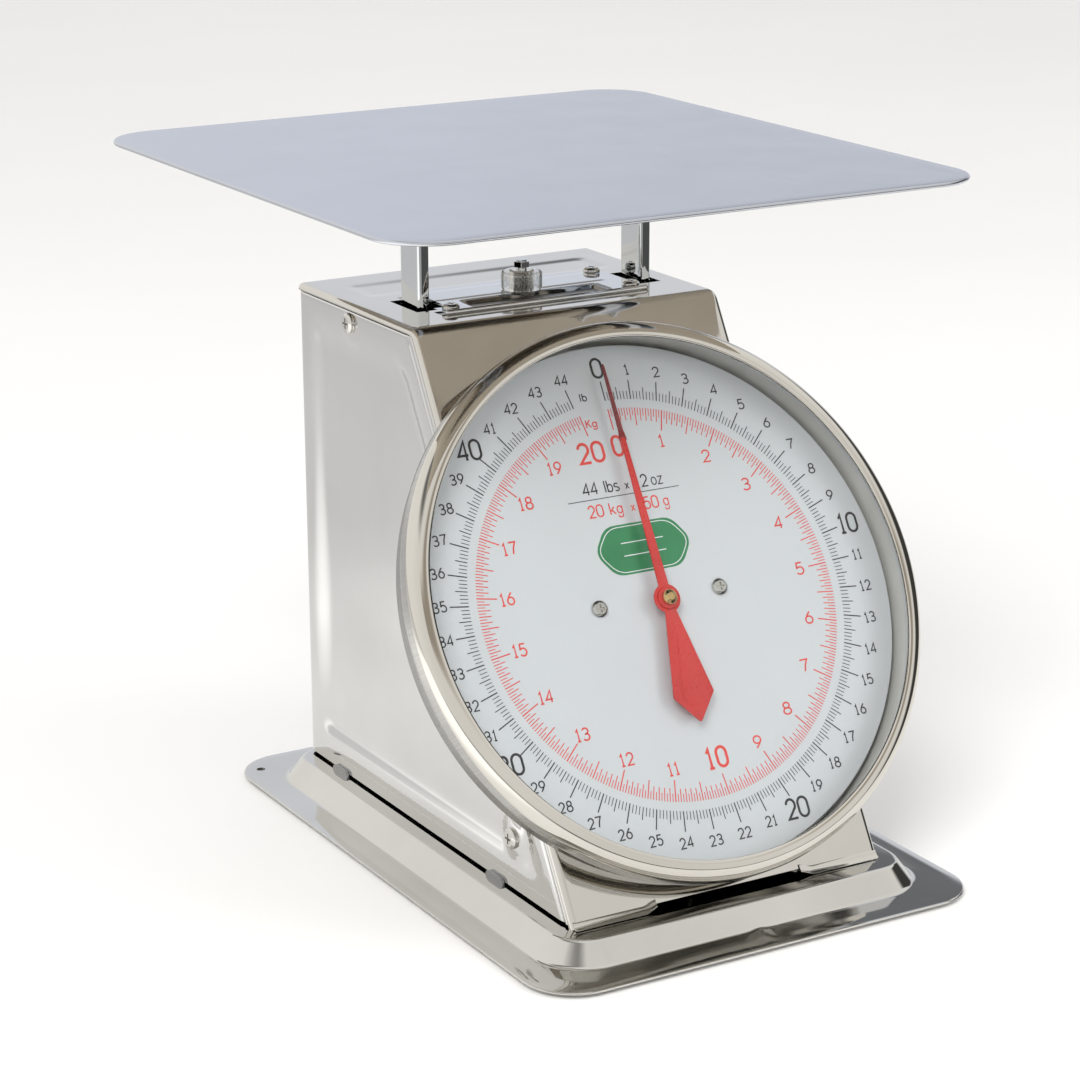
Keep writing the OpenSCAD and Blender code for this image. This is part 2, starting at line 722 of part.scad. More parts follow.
module knob_insert() color("silver") translate([0, post_y, knob_z]) difference() {
    cylinder(h = knob_h + 0.5, r = 4.75);
    translate([0, 0, -1]) cylinder(h = knob_h + 3, r = 2.07);
}

// Clear plastic grip round the threaded insert, with ribs for the fingers
module zero_knob() color("whitesmoke") translate([0, post_y, knob_z]) difference() {
    cylinder(h = knob_h, r = 7.9);
    translate([0, 0, -1]) cylinder(h = knob_h + 2, r = 4.8);
    for (a = [0 : 15 : 345]) rotate([0, 0, a]) translate([8.3, 0, 1]) cylinder(h = knob_h, r = 0.7, $fn = 16);
}

at_origin() base_tray();
at_origin() rubber_feet();
at_origin() foot_screws();
at_origin() left_frame_plate();
at_origin() right_frame_plate();
at_origin() frame_screws();
at_origin() top_bridge();
at_origin() stop_bar();
at_origin() stop_pad();
at_origin() front_cover();
at_origin() left_side_panel();
at_origin() right_side_panel();
at_origin() rear_panel();
at_origin() housing_screws();
at_origin() side_screws();
at_origin() rear_screws();
at_origin() hanger_plate();
at_origin() plate_screws();
at_origin() dial_drum();
at_origin() dial_back();
at_origin() dial_plate();
at_origin() dial_pillars();
at_origin() dial_screws();
at_origin() lens_gasket();
at_origin() lens();
at_origin() bezel();
at_origin() movement_front_plate();
at_origin() movement_rear_plate();
at_origin() movement_pillars();
at_origin() rack_guides();
at_origin() left_spring();
at_origin() right_spring();
at_origin() left_post();
at_origin() right_post();
at_origin() post_rivets();
at_origin() lower_bridge();
at_origin() spring_pins();
at_origin() drive_arm();
at_origin() drive_pin();
at_origin() platform();
at_origin() left_rail();
at_origin() right_rail();
at_origin() rack();
at_origin() pinion_arbor();
at_origin() pinion();
at_origin() pointer();
at_origin() arbor_nut();
at_origin() upper_guide_arm();
at_origin() lower_guide_arm();
at_origin() hanger_screw();
at_origin() hanger_bar();
at_origin() hanger_pins();
at_origin() screw_nut();
at_origin() zero_knob();
at_origin() knob_insert();
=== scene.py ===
"""Looks of the top-pan dial spring scale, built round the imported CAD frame."""

import json
import math

import bmesh
import bpy
from mathutils import Matrix, Vector

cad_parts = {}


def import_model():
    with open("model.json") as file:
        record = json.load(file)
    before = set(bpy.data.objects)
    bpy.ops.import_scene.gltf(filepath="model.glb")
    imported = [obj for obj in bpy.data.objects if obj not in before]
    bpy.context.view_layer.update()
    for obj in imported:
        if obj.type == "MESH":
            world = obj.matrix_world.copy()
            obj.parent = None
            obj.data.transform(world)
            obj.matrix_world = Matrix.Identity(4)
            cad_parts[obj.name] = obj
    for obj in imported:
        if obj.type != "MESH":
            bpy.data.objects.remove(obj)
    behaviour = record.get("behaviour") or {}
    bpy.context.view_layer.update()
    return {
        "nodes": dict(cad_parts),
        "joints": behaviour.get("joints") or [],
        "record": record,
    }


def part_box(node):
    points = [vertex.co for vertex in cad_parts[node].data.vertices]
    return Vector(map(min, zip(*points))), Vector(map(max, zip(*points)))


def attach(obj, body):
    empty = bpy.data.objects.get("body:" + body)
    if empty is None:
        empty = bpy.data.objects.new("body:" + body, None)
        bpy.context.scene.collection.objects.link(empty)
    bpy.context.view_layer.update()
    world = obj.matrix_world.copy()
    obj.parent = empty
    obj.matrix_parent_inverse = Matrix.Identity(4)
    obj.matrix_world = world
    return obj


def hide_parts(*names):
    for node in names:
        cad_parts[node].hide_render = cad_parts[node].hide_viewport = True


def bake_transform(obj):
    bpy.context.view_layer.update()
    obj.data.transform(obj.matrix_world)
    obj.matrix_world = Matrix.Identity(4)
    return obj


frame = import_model()
nodes = frame["nodes"]

MM = 0.001
TILT = math.radians(30.4)
joints = {j["name"]: j for j in frame["joints"]}
DIAL = Vector(joints["pointer_spin"]["pos_m"])
SLOPE = Vector((0, math.sin(TILT), math.cos(TILT)))
OUT = Vector((0, -math.cos(TILT), math.sin(TILT)))
ON_DIAL = Matrix(((MM, 0, 0, DIAL.x), (0, SLOPE.y * MM, OUT.y * MM, DIAL.y),
                  (0, SLOPE.z * MM, OUT.z * MM, DIAL.z), (0, 0, 0, 1)))

base_lo, base_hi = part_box("base_tray")
MID_Y = -(base_lo.y + base_hi.y) / 2 / MM  # from the base's centre to the frame's origin
IN_MM = Matrix.Translation((0, -MID_Y * MM, 0)) @ Matrix.Scale(MM, 4)


# ---------- materials ----------

class Nodes:
    """Short calls for a material's node tree."""

    def __init__(self, tree, clear=True):
        self.tree = tree
        if clear:
            tree.nodes.clear()

    def add(self, kind, inputs=(), **settings):
        n = self.tree.nodes.new(kind)
        for key, value in settings.items():
            setattr(n, key, value)
        for socket, value in inputs:
            n.inputs[socket].default_value = value
        return n

    def link(self, a, b):
        self.tree.links.new(a, b)

    def math(self, op, a, b=None, clamp=False):
        n = self.add("ShaderNodeMath", operation=op, use_clamp=clamp)
        for socket, value in zip(n.inputs, (a, b)):
            if isinstance(value, (int, float)):
                socket.default_value = value
            elif value is not None:
                self.link(value, socket)
        return n.outputs[0]

    def noise(self, vector, scale, detail=3, rough=0.5):
        n = self.add("ShaderNodeTexNoise", (("Scale", scale), ("Detail", detail), ("Roughness", rough)))
        self.link(vector, n.inputs["Vector"])
        return n.outputs["Fac"]

    def stretch(self, vector, scale):
        n = self.add("ShaderNodeMapping", [("Scale", scale)])
        self.link(vector, n.inputs["Vector"])
        return n.outputs["Vector"]

    def ramp(self, fac, stops):
        n = self.add("ShaderNodeValToRGB")
        while len(n.color_ramp.elements) < len(stops):
            n.color_ramp.elements.new(0.5)
        for e, (place, colour) in zip(n.color_ramp.elements, stops):
            e.position = place
            e.color = (*colour, 1)
        self.link(fac, n.inputs["Fac"])
        return n.outputs["Color"]

    def span(self, fac, low, high, from_low=0.0, from_high=1.0):
        n = self.add("ShaderNodeMapRange", (("From Min", from_low), ("From Max", from_high), ("To Min", low),
                                            ("To Max", high)))
        self.link(fac, n.inputs["Value"])
        return n.outputs["Result"]

    def bump(self, height, strength, distance, normal=None):
        n = self.add("ShaderNodeBump", (("Strength", strength), ("Distance", distance)))
        self.link(height, n.inputs["Height"])
        if normal is not None:
            self.link(normal, n.inputs["Normal"])
        return n.outputs["Normal"]


def new_material(name):
    """A material, its nodes, its Principled shader and the object coordinates."""
    m = bpy.data.materials.new(name)
    m.use_nodes = True
    k = Nodes(m.node_tree)
    out = k.add("ShaderNodeOutputMaterial")
    shader = k.add("ShaderNodeBsdfPrincipled")
    k.link(shader.outputs[0], out.inputs["Surface"])
    coords = k.add("ShaderNodeTexCoord").outputs["Object"]
    return m, k, shader, coords


def steel(name, dark, light, rough, rough_more=0.05, grain=(1, 1, 1), grain_bump=0.0, wave=0.0, scratch=0.02):
    """Bare metal: cloudy tone, smudged gloss, optional brushing along the axis where grain is small, and waves
    as in thin sheet."""
    m, k, s, at = new_material(name)
    s.inputs["Metallic"].default_value = 1
    cloud = k.noise(at, 14, 4, 0.6)
    k.link(k.ramp(cloud, [(0.3, dark), (0.7, light)]), s.inputs["Base Color"])
    smudge = k.noise(at, 38, 5, 0.65)
    lines = k.noise(k.stretch(at, [g * 900 for g in grain]), 1, 2, 0.6)
    gloss = k.math("ADD", k.span(smudge, rough - rough_more * 0.4, rough + rough_more, 0.35, 0.75),
                   k.span(lines, -scratch, scratch))
    k.link(k.math("MAXIMUM", gloss, 0.015), s.inputs["Roughness"])
    normal = None
    if wave:
        normal = k.bump(k.noise(at, 7, 1, 0.4), wave, 0.01)
    if grain_bump:
        normal = k.bump(lines, grain_bump, 0.0004, normal)
    if normal is not None:
        k.link(normal, s.inputs["Normal"])
    return m


def coated(name, dark, light, rough, bump, scale, coat=0.0, cloud_scale=30):
    """Paint, ink or rubber with a fine surface texture and a cloudy tone."""
    m, k, s, at = new_material(name)
    if coat:
        s.inputs["Coat Weight"].default_value = coat
        s.inputs["Coat Roughness"].default_value = 0.08
    k.link(k.ramp(k.noise(at, cloud_scale, 4, 0.6), [(0.3, dark), (0.7, light)]), s.inputs["Base Color"])
    fine = k.noise(at, scale, 3, 0.5)
    k.link(k.span(fine, rough - 0.05, rough + 0.08, 0.3, 0.7), s.inputs["Roughness"])
    k.link(k.bump(fine, bump, 0.0003), s.inputs["Normal"])
    return m


def brushed_ring(name, dark, light, rough, around=0.0):
    """Metal turned or brushed round the dial's axis. around is the share of lines across the turned ones."""
    m, k, s, at = new_material(name)
    s.inputs["Metallic"].default_value = 1
    shift = k.add("ShaderNodeMapping", (("Location", DIAL), ("Rotation", (math.pi / 2 - TILT, 0, 0))),
                  vector_type="TEXTURE")
    k.link(at, shift.inputs["Vector"])
    axes = k.add("ShaderNodeSeparateXYZ")
    k.link(shift.outputs["Vector"], axes.inputs[0])
    x, y, z = axes.outputs
    turn = k.math("MULTIPLY", k.math("ARCTAN2", x, y), 0.1)
    radius = k.math("SQRT", k.math("ADD", k.math("MULTIPLY", x, x), k.math("MULTIPLY", y, y)))
    polar = k.add("ShaderNodeCombineXYZ")
    for source, socket in ((turn, 0), (radius, 1), (z, 2)):
        k.link(source, polar.inputs[socket])
    lines = k.noise(k.stretch(polar.outputs[0], (6, 1560, 1560)), 1, 3, 0.7)
    cross = k.noise(k.stretch(polar.outputs[0], (2600 * around + 6, 30, 30)), 1, 3, 0.7)
    tone = k.math("ADD", k.math("MULTIPLY", lines, 1 - around), k.math("MULTIPLY", cross, around))
    k.link(k.ramp(tone, [(0.25, dark), (0.75, light)]), s.inputs["Base Color"])
    k.link(k.span(tone, rough + 0.06, rough - 0.05, 0.3, 0.7), s.inputs["Roughness"])
    k.link(k.bump(tone, 0.12, 0.0003), s.inputs["Normal"])
    return m


def glass(name, ior, tone=(0.972, 0.98, 0.982), frost=0.0):
    """Clear plastic or glass: see-through, with the mirror of a polished face. frost adds a milky share."""
    m, k, s, at = new_material(name)
    k.tree.nodes.remove(s)
    out = next(n for n in k.tree.nodes if n.type == "OUTPUT_MATERIAL")
    clear = k.add("ShaderNodeBsdfTransparent", [("Color", (*tone, 1))])
    shine = k.add("ShaderNodeBsdfGlossy", [("Color", (1, 1, 1, 1))])
    haze = k.noise(at, 26, 4, 0.6)
    k.link(k.span(haze, 0.01, 0.04, 0.4, 0.8), shine.inputs["Roughness"])
    fresnel = k.add("ShaderNodeFresnel", [("IOR", ior)])
    mix = k.add("ShaderNodeMixShader")
    share = fresnel.outputs[0]
    k.link(k.math("ADD", share, frost, clamp=True) if frost else share, mix.inputs[0])
    k.link(clear.outputs[0], mix.inputs[1])
    k.link(shine.outputs[0], mix.inputs[2])
    k.link(mix.outputs[0], out.inputs["Surface"])
    return m


POLISHED = steel("polished_steel", (0.62, 0.60, 0.56), (0.68, 0.66, 0.62), 0.06, 0.03, wave=0.014, scratch=0.006)
SIDE_STEEL = steel("side_steel", (0.655, 0.653, 0.645), (0.72, 0.718, 0.71), 0.06, 0.03, wave=0.014,
                   scratch=0.006)
BASE_STEEL = steel("base_steel", (0.61, 0.60, 0.57), (0.68, 0.67, 0.64), 0.06, 0.035, wave=0.014, scratch=0.006)
BEZEL_STEEL = steel("bezel_steel", (0.64, 0.615, 0.565), (0.70, 0.675, 0.625), 0.05, 0.03, wave=0.006,
                    scratch=0.005)
# painted shade: a darker, warmer copy of the pan's satin steel for its underside
PAN_SHADED_UNDERSIDE = steel("pan_underside_painted_shade", (0.36, 0.325, 0.275), (0.43, 0.39, 0.335), 0.2, 0.04, grain=(1, 0.02, 1),
                  grain_bump=0.01, scratch=0.015)
CHROME = steel("chrome_plate", (0.60, 0.62, 0.64), (0.67, 0.69, 0.71), 0.04, 0.025, wave=0.01, scratch=0.006)
PAN_STEEL = steel("satin_steel", (0.555, 0.58, 0.635), (0.575, 0.60, 0.655), 0.24, 0.02, grain=(1, 0.02, 1),
                  grain_bump=0.008, scratch=0.012)
DRUM_STEEL = brushed_ring("drum_steel", (0.42, 0.415, 0.40), (0.58, 0.57, 0.55), 0.26)
SKIRT_STEEL = brushed_ring("skirt_steel", (0.40, 0.395, 0.38), (0.60, 0.59, 0.565), 0.22, around=0.7)
ZINC = steel("zinc_steel", (0.42, 0.43, 0.44), (0.56, 0.57, 0.58), 0.34, 0.1, grain=(0.05, 1, 1), scratch=0.05)
SPRING = steel("spring_steel", (0.30, 0.30, 0.31), (0.44, 0.44, 0.45), 0.26, 0.08)
SCREW = steel("screw_steel", (0.58, 0.57, 0.54), (0.70, 0.69, 0.66), 0.13, 0.06)
BRASS = steel("brass", (0.62, 0.42, 0.17), (0.78, 0.56, 0.26), 0.16, 0.08)
FACE_WHITE = coated("dial_white", (0.608, 0.628, 0.652), (0.632, 0.652, 0.675), 0.34, 0.02, 1500,
                    cloud_scale=12)
INK_BLACK = coated("print_black", (0.012, 0.012, 0.014), (0.03, 0.03, 0.032), 0.42, 0.02, 1500)
INK_RED = coated("print_red", (0.70, 0.045, 0.035), (0.80, 0.075, 0.055), 0.42, 0.02, 1500)
INK_GREEN = coated("print_green", (0.022, 0.20, 0.075), (0.035, 0.27, 0.105), 0.40, 0.02, 1500)
INK_PALE = coated("print_pale", (0.80, 0.82, 0.83), (0.86, 0.88, 0.89), 0.40, 0.02, 1500)
POINTER_RED = coated("pointer_red", (0.52, 0.016, 0.013), (0.66, 0.028, 0.022), 0.30, 0.06, 1100, coat=0.35)
# painted shade: a darker copy of the pointer's red, for the tip turned on edge
POINTER_SHADED_TIP = coated("pointer_tip_painted_shade", (0.24, 0.010, 0.012), (0.32, 0.016, 0.016), 0.30, 0.06, 1100, coat=0.3)
RUBBER = coated("black_rubber", (0.012, 0.012, 0.012), (0.028, 0.028, 0.028), 0.62, 0.25, 700)
PLASTIC = glass("clear_plastic", 1.5, (0.93, 0.93, 0.91), 0.12)
LINING = coated("drum_lining", (0.64, 0.63, 0.59), (0.72, 0.71, 0.67), 0.34, 0.05, 700)
GASKET = coated("pale_gasket", (0.60, 0.61, 0.61), (0.68, 0.69, 0.69), 0.5, 0.1, 700)
LENS = glass("lens_glass", ior=1.26)


# ---------- mesh helpers: lengths in mm, Y from the base's centre ----------

def piece(name, verts, faces, materials, body, place=IN_MM, stands_for=(), slot=None, crease=32, choose=None,
          thickness=0.0):
    """A closed mesh piece that rides on a body. choose(centre) picks the material slot of a face, in mm."""
    bm = bmesh.new()
    made = [bm.verts.new(v) for v in verts]
    for f in faces:
        corners = [made[i] for i in f]
        if len(set(corners)) > 2:
            bm.faces.new(corners)
    if thickness:
        bmesh.ops.solidify(bm, geom=bm.faces[:], thickness=thickness)
    bmesh.ops.remove_doubles(bm, verts=bm.verts[:], dist=1e-4)
    bmesh.ops.dissolve_degenerate(bm, edges=bm.edges[:], dist=1e-5)
    bmesh.ops.recalc_face_normals(bm, faces=bm.faces[:])
    if choose:
        for f in bm.faces:
            f.material_index = choose(f.calc_center_median())
    mesh = bpy.data.meshes.new(name)
    bm.to_mesh(mesh)
    bm.free()
    mesh.transform(place)
    for m in materials if isinstance(materials, (list, tuple)) else [materials]:
        mesh.materials.append(m)
    smooth(mesh, crease)
    o = bpy.data.objects.new(name, mesh)
    bpy.context.scene.collection.objects.link(o)
    if body:
        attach(o, body)
    if stands_for:
        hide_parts(*stands_for)
    return o


def smooth(mesh, crease):
    """Smooth shading, sharp where faces meet at more than crease degrees."""
    for p in mesh.polygons:
        p.use_smooth = True
    mesh.set_sharp_from_angle(angle=math.radians(crease))


def gather(parts):
    """One (vertices, faces) from many."""
    verts, faces = [], []
    for v, f in parts:
        faces += [tuple(i + len(verts) for i in face) for face in f]
        verts += v
    return verts, faces


def bow(cx, cy, rx, ry, a0, a1, n=16):
    """n + 1 points along an ellipse, from a0 to a1 degrees."""
    turns = [math.radians(a0 + (a1 - a0) * i / n) for i in range(n + 1)]
    return [(cx + rx * math.cos(a), cy + ry * math.sin(a)) for a in turns]


def arc(cx, cy, r, a0, a1, n):
    return bow(cx, cy, r, r, a0, a1, n)


def circle(n):
    return [2 * math.pi * i / n for i in range(n)]


def revolve(name, profile, segments, materials, body, **more):
    """Turns a closed (radius, height) outline round the dial's axis."""
    n = len(profile)
    verts = [(r * math.sin(a), r * math.cos(a), h) for a in circle(segments) for r, h in profile]
    faces = []
    for i in range(segments):
        a, b = i * n, (i + 1) % segments * n
        faces += [(a + j, a + (j + 1) % n, b + (j + 1) % n, b + j) for j in range(n)]
    piece(name, verts, faces, materials, body, place=ON_DIAL, **more)


def loft(rings, cap=True):
    """Joins closed rings of the same number of points, and closes both ends if cap is set."""
    n = len(rings[0])
    verts = [p for ring in rings for p in ring]
    faces = [(k * n + j, k * n + (j + 1) % n, (k + 1) * n + (j + 1) % n, (k + 1) * n + j)
             for k in range(len(rings) - 1) for j in range(n)]
    if cap:
        faces += [tuple(range(n))[::-1], tuple((len(rings) - 1) * n + j for j in range(n))]
    return verts, faces


def round_ring(hw, hd, r, z, corner=10, side=24):
    """A rounded rectangle with the same points per corner and side at every size."""
    out = []
    x1, y1 = hw - r, hd - r
    for cx, cy, a, nx, ny in ((x1, -y1, -90, hw, y1), (x1, y1, 0, -x1, hd), (-x1, y1, 90, -hw, -y1),
                              (-x1, -y1, 180, x1, -hd)):
        out += [(x, y, z) for x, y in arc(cx, cy, r, a, a + 90, corner)]
        x0, y0 = out[-1][:2]
        out += [(x0 + (nx - x0) * i / side, y0 + (ny - y0) * i / side, z) for i in range(1, side)]
    return out


def fill(stops, pitch):
    """The stops with even steps no longer than pitch between them."""
    out = [stops[0]]
    for a, b in zip(stops, stops[1:]):
        n = max(1, math.ceil((b - a) / pitch - 1e-9))
        out += [a + (b - a) * i / n for i in range(1, n + 1)]
    return out


def grid(columns, rows, at, hole=None):
    """A sheet of columns by rows: at(column, row) gives each point and hole(point) leaves a face out."""
    verts = [at(c, r) for r in rows for c in columns]
    n, faces = len(columns), []
    for j in range(len(rows) - 1):
        for i in range(n - 1):
            f = (j * n + i, j * n + i + 1, (j + 1) * n + i + 1, (j + 1) * n + i)
            if hole and hole(*[sum(verts[k][a] for k in f) / 4 for a in range(3)]):
                continue
            faces.append(f)
    return verts, faces


def ease(t):
    """Smooth step from 0 to 1."""
    t = min(1.0, max(0.0, t))
    return t * t * (3 - 2 * t)


def pressed(*depths):
    """0 outside a pressed field and 1 on its floor, with round corners. Each depth is (distance inside the edge
    where its wall starts) / (the wall's width)."""
    miss = math.sqrt(sum(max(0.0, 1 - d) ** 2 for d in depths))
    return ease(1 - miss)


def extrude(outline, z0, z1):
    """A flat outline given a thickness."""
    n = len(outline)
    verts = [(x, y, z0) for x, y in outline] + [(x, y, z1) for x, y in outline]
    faces = [(i, (i + 1) % n, n + (i + 1) % n, n + i) for i in range(n)]
    return verts, faces + [tuple(range(n))[::-1], tuple(range(n, 2 * n))]


def soften(node):
    """Rounds the edges of a CAD node's shown mesh, which stays as it is underneath."""
    o = nodes[node]
    o.modifiers.new("weld", "WELD").merge_threshold = 1e-6
    bevel = o.modifiers.new("edges", "BEVEL")
    bevel.width = 0.2 * MM
    bevel.segments = 2
    bevel.limit_method = "ANGLE"
    bevel.angle_limit = math.radians(28)
    bevel.use_clamp_overlap = True
    bevel.harden_normals = True


# ---------- base ----------

DECK_Z = base_hi.z / MM
BASE_HW = base_hi.x / MM
BASE_HD = (base_hi.y - base_lo.y) / 2 / MM
BASE_R, BASE_SHEET = 20.0, 1.0
FLANGE_Z = 2.5  # top of the flange
FOOT_HW, FOOT_R, LEAN = 80.8, 20.7, 7.7  # the sloping wall's foot, and how far it leans in
DECK_HW = FOOT_HW - LEAN
LONGER = 36.9  # how much longer than wide the raised part is, each way
FLANGE_HOLES, FLANGE_HOLE_R = [(-83.5, 118.5), (83.5, 118.5)], 1.75


def base_profile():
    """(half-width, height) from the flange's lower rim, over the top, to the deck's edge."""
    rim = [(BASE_HW - a, FLANGE_Z - b) for a, b in
           ((1.6, 1.0), (0.5, 0.98), (0.12, 0.8), (0, 0.45), (0.12, 0.12), (0.5, 0), (4, 0))]
    lean = math.atan2(DECK_Z - FLANGE_Z, LEAN)
    r0, r1 = 3.0, 2.6  # the bends at the wall's foot and at the deck
    t0, t1 = r0 * math.tan(lean / 2), r1 * math.tan(lean / 2)
    turns = [lean * i / 7 for i in range(8)]
    foot = [(FOOT_HW - 0.9 + t0 - r0 * math.sin(a), FLANGE_Z + r0 - r0 * math.cos(a)) for a in turns]
    top = [(DECK_HW - t1 + r1 * math.sin(a), DECK_Z - r1 + r1 * math.cos(a)) for a in turns[::-1]]
    return rim + foot + top


def base_ring(half_w, z):
    """The base's outline at a half-width: the flange's own shape, changing into the raised part's."""
    if half_w > FOOT_HW:
        share = (BASE_HW - half_w) / (BASE_HW - FOOT_HW)
        half_d = BASE_HD - share * (BASE_HD - FOOT_HW - LONGER)
        r = BASE_R + share * (FOOT_R - BASE_R)
    else:
        half_d = half_w + LONGER
        r = FOOT_R - (FOOT_HW - half_w)
    return round_ring(half_w, half_d, max(r, 2.0), z, 12, 60)


def make_base():
    outer = base_profile()
    tops = [base_ring(w, z) for w, z in outer]
    inner = []
    for k, (w, z) in list(enumerate(outer))[6:]:
        a, b = outer[k - 1], outer[min(k + 1, len(outer) - 1)]
        tx, tz = b[0] - a[0], b[1] - a[1]
        length = math.hypot(tx, tz)
        inner.append(base_ring(w - BASE_SHEET * max(tz, 0) / length, z - BASE_SHEET * abs(tx) / length))
    deck = [base_ring(DECK_HW - 8, DECK_Z), base_ring(DECK_HW - 30, DECK_Z)]
    under = [base_ring(DECK_HW - 30, DECK_Z - BASE_SHEET), base_ring(DECK_HW - 8, DECK_Z - BASE_SHEET)]
    rings = tops + deck + under + inner[::-1]

    def dent(p):
        """The small vee pressed into the foot of the front wall."""
        x, y, z = p
        near = math.exp(-((x - 1.3) / 2.0) ** 2) * math.exp(-((y + BASE_HD - 11.5) / 2.6) ** 2)
        return (x, y - 0.9 * near, z + 1.5 * near)

    verts, faces = loft([[dent(p) for p in ring] for ring in rings], cap=False)
    n, last = len(rings[0]), len(rings) - 1
    faces += [(last * n + j, last * n + (j + 1) % n, (j + 1) % n, j) for j in range(n)]
    k = len(tops) + 1
    faces += [tuple(k * n + j for j in range(n)), tuple((k + 1) * n + j for j in range(n))[::-1]]
    return piece("base_pan", verts, faces, BASE_STEEL, "root", stands_for=["base_tray"], slot="polished_steel",
                 crease=50)


def cut_holes(o, centres, r, z0, z1):
    """Cuts round holes along Z through a piece, once, and keeps the result as its mesh."""
    pins = gather(extrude(arc(cx, cy, r, 0, 360, 32)[:-1], z0, z1) for cx, cy in centres)
    cutter = piece("cutter", *pins, BASE_STEEL, None)
    m = o.modifiers.new("holes", "BOOLEAN")
    m.operation, m.solver, m.object = "DIFFERENCE", "EXACT", cutter
    bpy.context.view_layer.update()
    done = bpy.data.meshes.new_from_object(o.evaluated_get(bpy.context.evaluated_depsgraph_get()))
    o.modifiers.clear()
    o.data = done
    smooth(done, 50)
    bpy.data.objects.remove(cutter)


cut_holes(make_base(), FLANGE_HOLES, FLANGE_HOLE_R, 0, 6)


# ---------- housing ----------

BODY_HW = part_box("front_cover")[1].x / MM
TOP_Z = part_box("front_cover")[1].z / MM
BACK_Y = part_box("front_cover")[1].y / MM + MID_Y
TAN, COS, SIN = math.tan(TILT), math.cos(TILT), math.sin(TILT)
SHEET = 0.7
FOOT_Y = -100.7  # the front face's foot at deck height
BEND_R, LIP = 6.0, 2.5  # the bend between face and top, and the rounded side edges
COVER_FOOT_Z = DECK_Z + 0.6
FOOT_GAP, FOOT_IN = 1.9, 34.0  # height and half-width of the gap under the front face


def front_y(z, inside=0.0):
    """Y of the front face at a height, or of a line parallel to it, so many mm inside."""
    return FOOT_Y + (z - DECK_Z) * TAN + inside / COS


BEND_Y = front_y(TOP_Z) + BEND_R * math.tan((math.pi / 2 - TILT) / 2)
SLOPE_L = (TOP_Z - BEND_R + BEND_R * SIN - COVER_FOOT_Z) / COS
BEND_L = BEND_R * (math.pi / 2 - TILT)


def cover_line(s):
    """Point (y, z) and outward normal of the front cover's middle line, s mm from its foot."""
    if s < SLOPE_L:
        return front_y(COVER_FOOT_Z) + s * SIN, COVER_FOOT_Z + s * COS, -COS, SIN
    if s < SLOPE_L + BEND_L:
        a = math.pi - TILT - (s - SLOPE_L) / BEND_R
        return BEND_Y + BEND_R * math.cos(a), TOP_Z - BEND_R + BEND_R * math.sin(a), math.cos(a), math.sin(a)
    return BEND_Y + s - SLOPE_L - BEND_L, TOP_Z, 0.0, 1.0


def s_at_y(y):
    """How far along the cover's line its top reaches y."""
    return y - BEND_Y + SLOPE_L + BEND_L


# openings in the top, each from x to x and from y to y
POST_SLOTS = [(-51, -38, 37.5, 59.5), (46.3, 56, 37.5, 59.5)]
HANGER_OPENING = (-28, 28, 32.5, 42)  # in the hanger plate, and wider in the cover below it
COVER_OPENINGS = POST_SLOTS + [(-30.5, 30.5, 30, 44.5)]


def in_any(x, y, openings):
    return any(a < x < b and c < y < d for a, b, c, d in openings)


def cover_point(column, row):
    """column is (x, share of the rounded edge across) and row is (s, share of the rounded edge along)."""
    (x, u), (s, w) = column, row
    far = math.hypot(u, w)
    if far > 1:
        u, w, far = u / far, w / far, 1.0
    depth = LIP * (1 - math.sqrt(max(0.0, 1 - far * far)))
    y, z, ny, nz = cover_line(s)
    if s > SLOPE_L + BEND_L:
        # channel pressed across the top behind the hanger plate
        depth += 0.5 * pressed((54 - abs(x)) / 4, (y - 70) / 4, (93 - y) / 4)
    elif s < SLOPE_L:
        # the face is very slightly hollow, as thin sheet is
        depth += 0.25 * math.sin(math.pi * s / SLOPE_L) * math.cos(x / BODY_HW * 1.4)
    return (x + LIP * u, y + LIP * w - ny * depth, z - nz * depth)


def cover_hole(x, y, z):
    if z < COVER_FOOT_Z + FOOT_GAP - 0.1:
        return abs(x) < FOOT_IN
    return z > TOP_Z - 3 and in_any(x, y, COVER_OPENINGS)


def make_cover():
    edge = BODY_HW - LIP
    round_off = [math.sin(math.radians(a)) for a in (90, 78, 66, 52, 38, 24, 10)]
    flat = fill([-edge, -51, -38, -FOOT_IN, -30.5, 30.5, FOOT_IN, 46.3, 56, edge], 2.2)
    columns = [(-edge, -u) for u in round_off] + [(x, 0.0) for x in flat] + [(edge, u) for u in round_off[::-1]]
    ys = fill([BEND_Y, 30, 37.5, 44.5, 59.5, 70, 93, BACK_Y - LIP], 2.0)
    rows = [(s, 0.0) for s in fill([0.0, FOOT_GAP / COS, SLOPE_L], 3.2)]
    rows += [(SLOPE_L + BEND_L * i / 10, 0.0) for i in range(1, 10)]
    rows += [(s_at_y(y) + 1e-6, 0.0) for y in ys] + [(s_at_y(BACK_Y - LIP), u) for u in round_off[::-1]]
    verts, faces = grid(columns, rows, cover_point, cover_hole)
    piece("front_and_top_cover", verts, faces, POLISHED, "root", stands_for=["front_cover"],
          slot="polished_steel", thickness=SHEET, crease=55)


make_cover()


SIDE_SCREWS = [(63.7, 197), (-58, 31.2)]  # y, z
SIDE_TOP = TOP_Z - LIP - 0.3
EDGE_BAND, REAR_R = 6.5, 5  # a finely divided band in front, and the rear corner


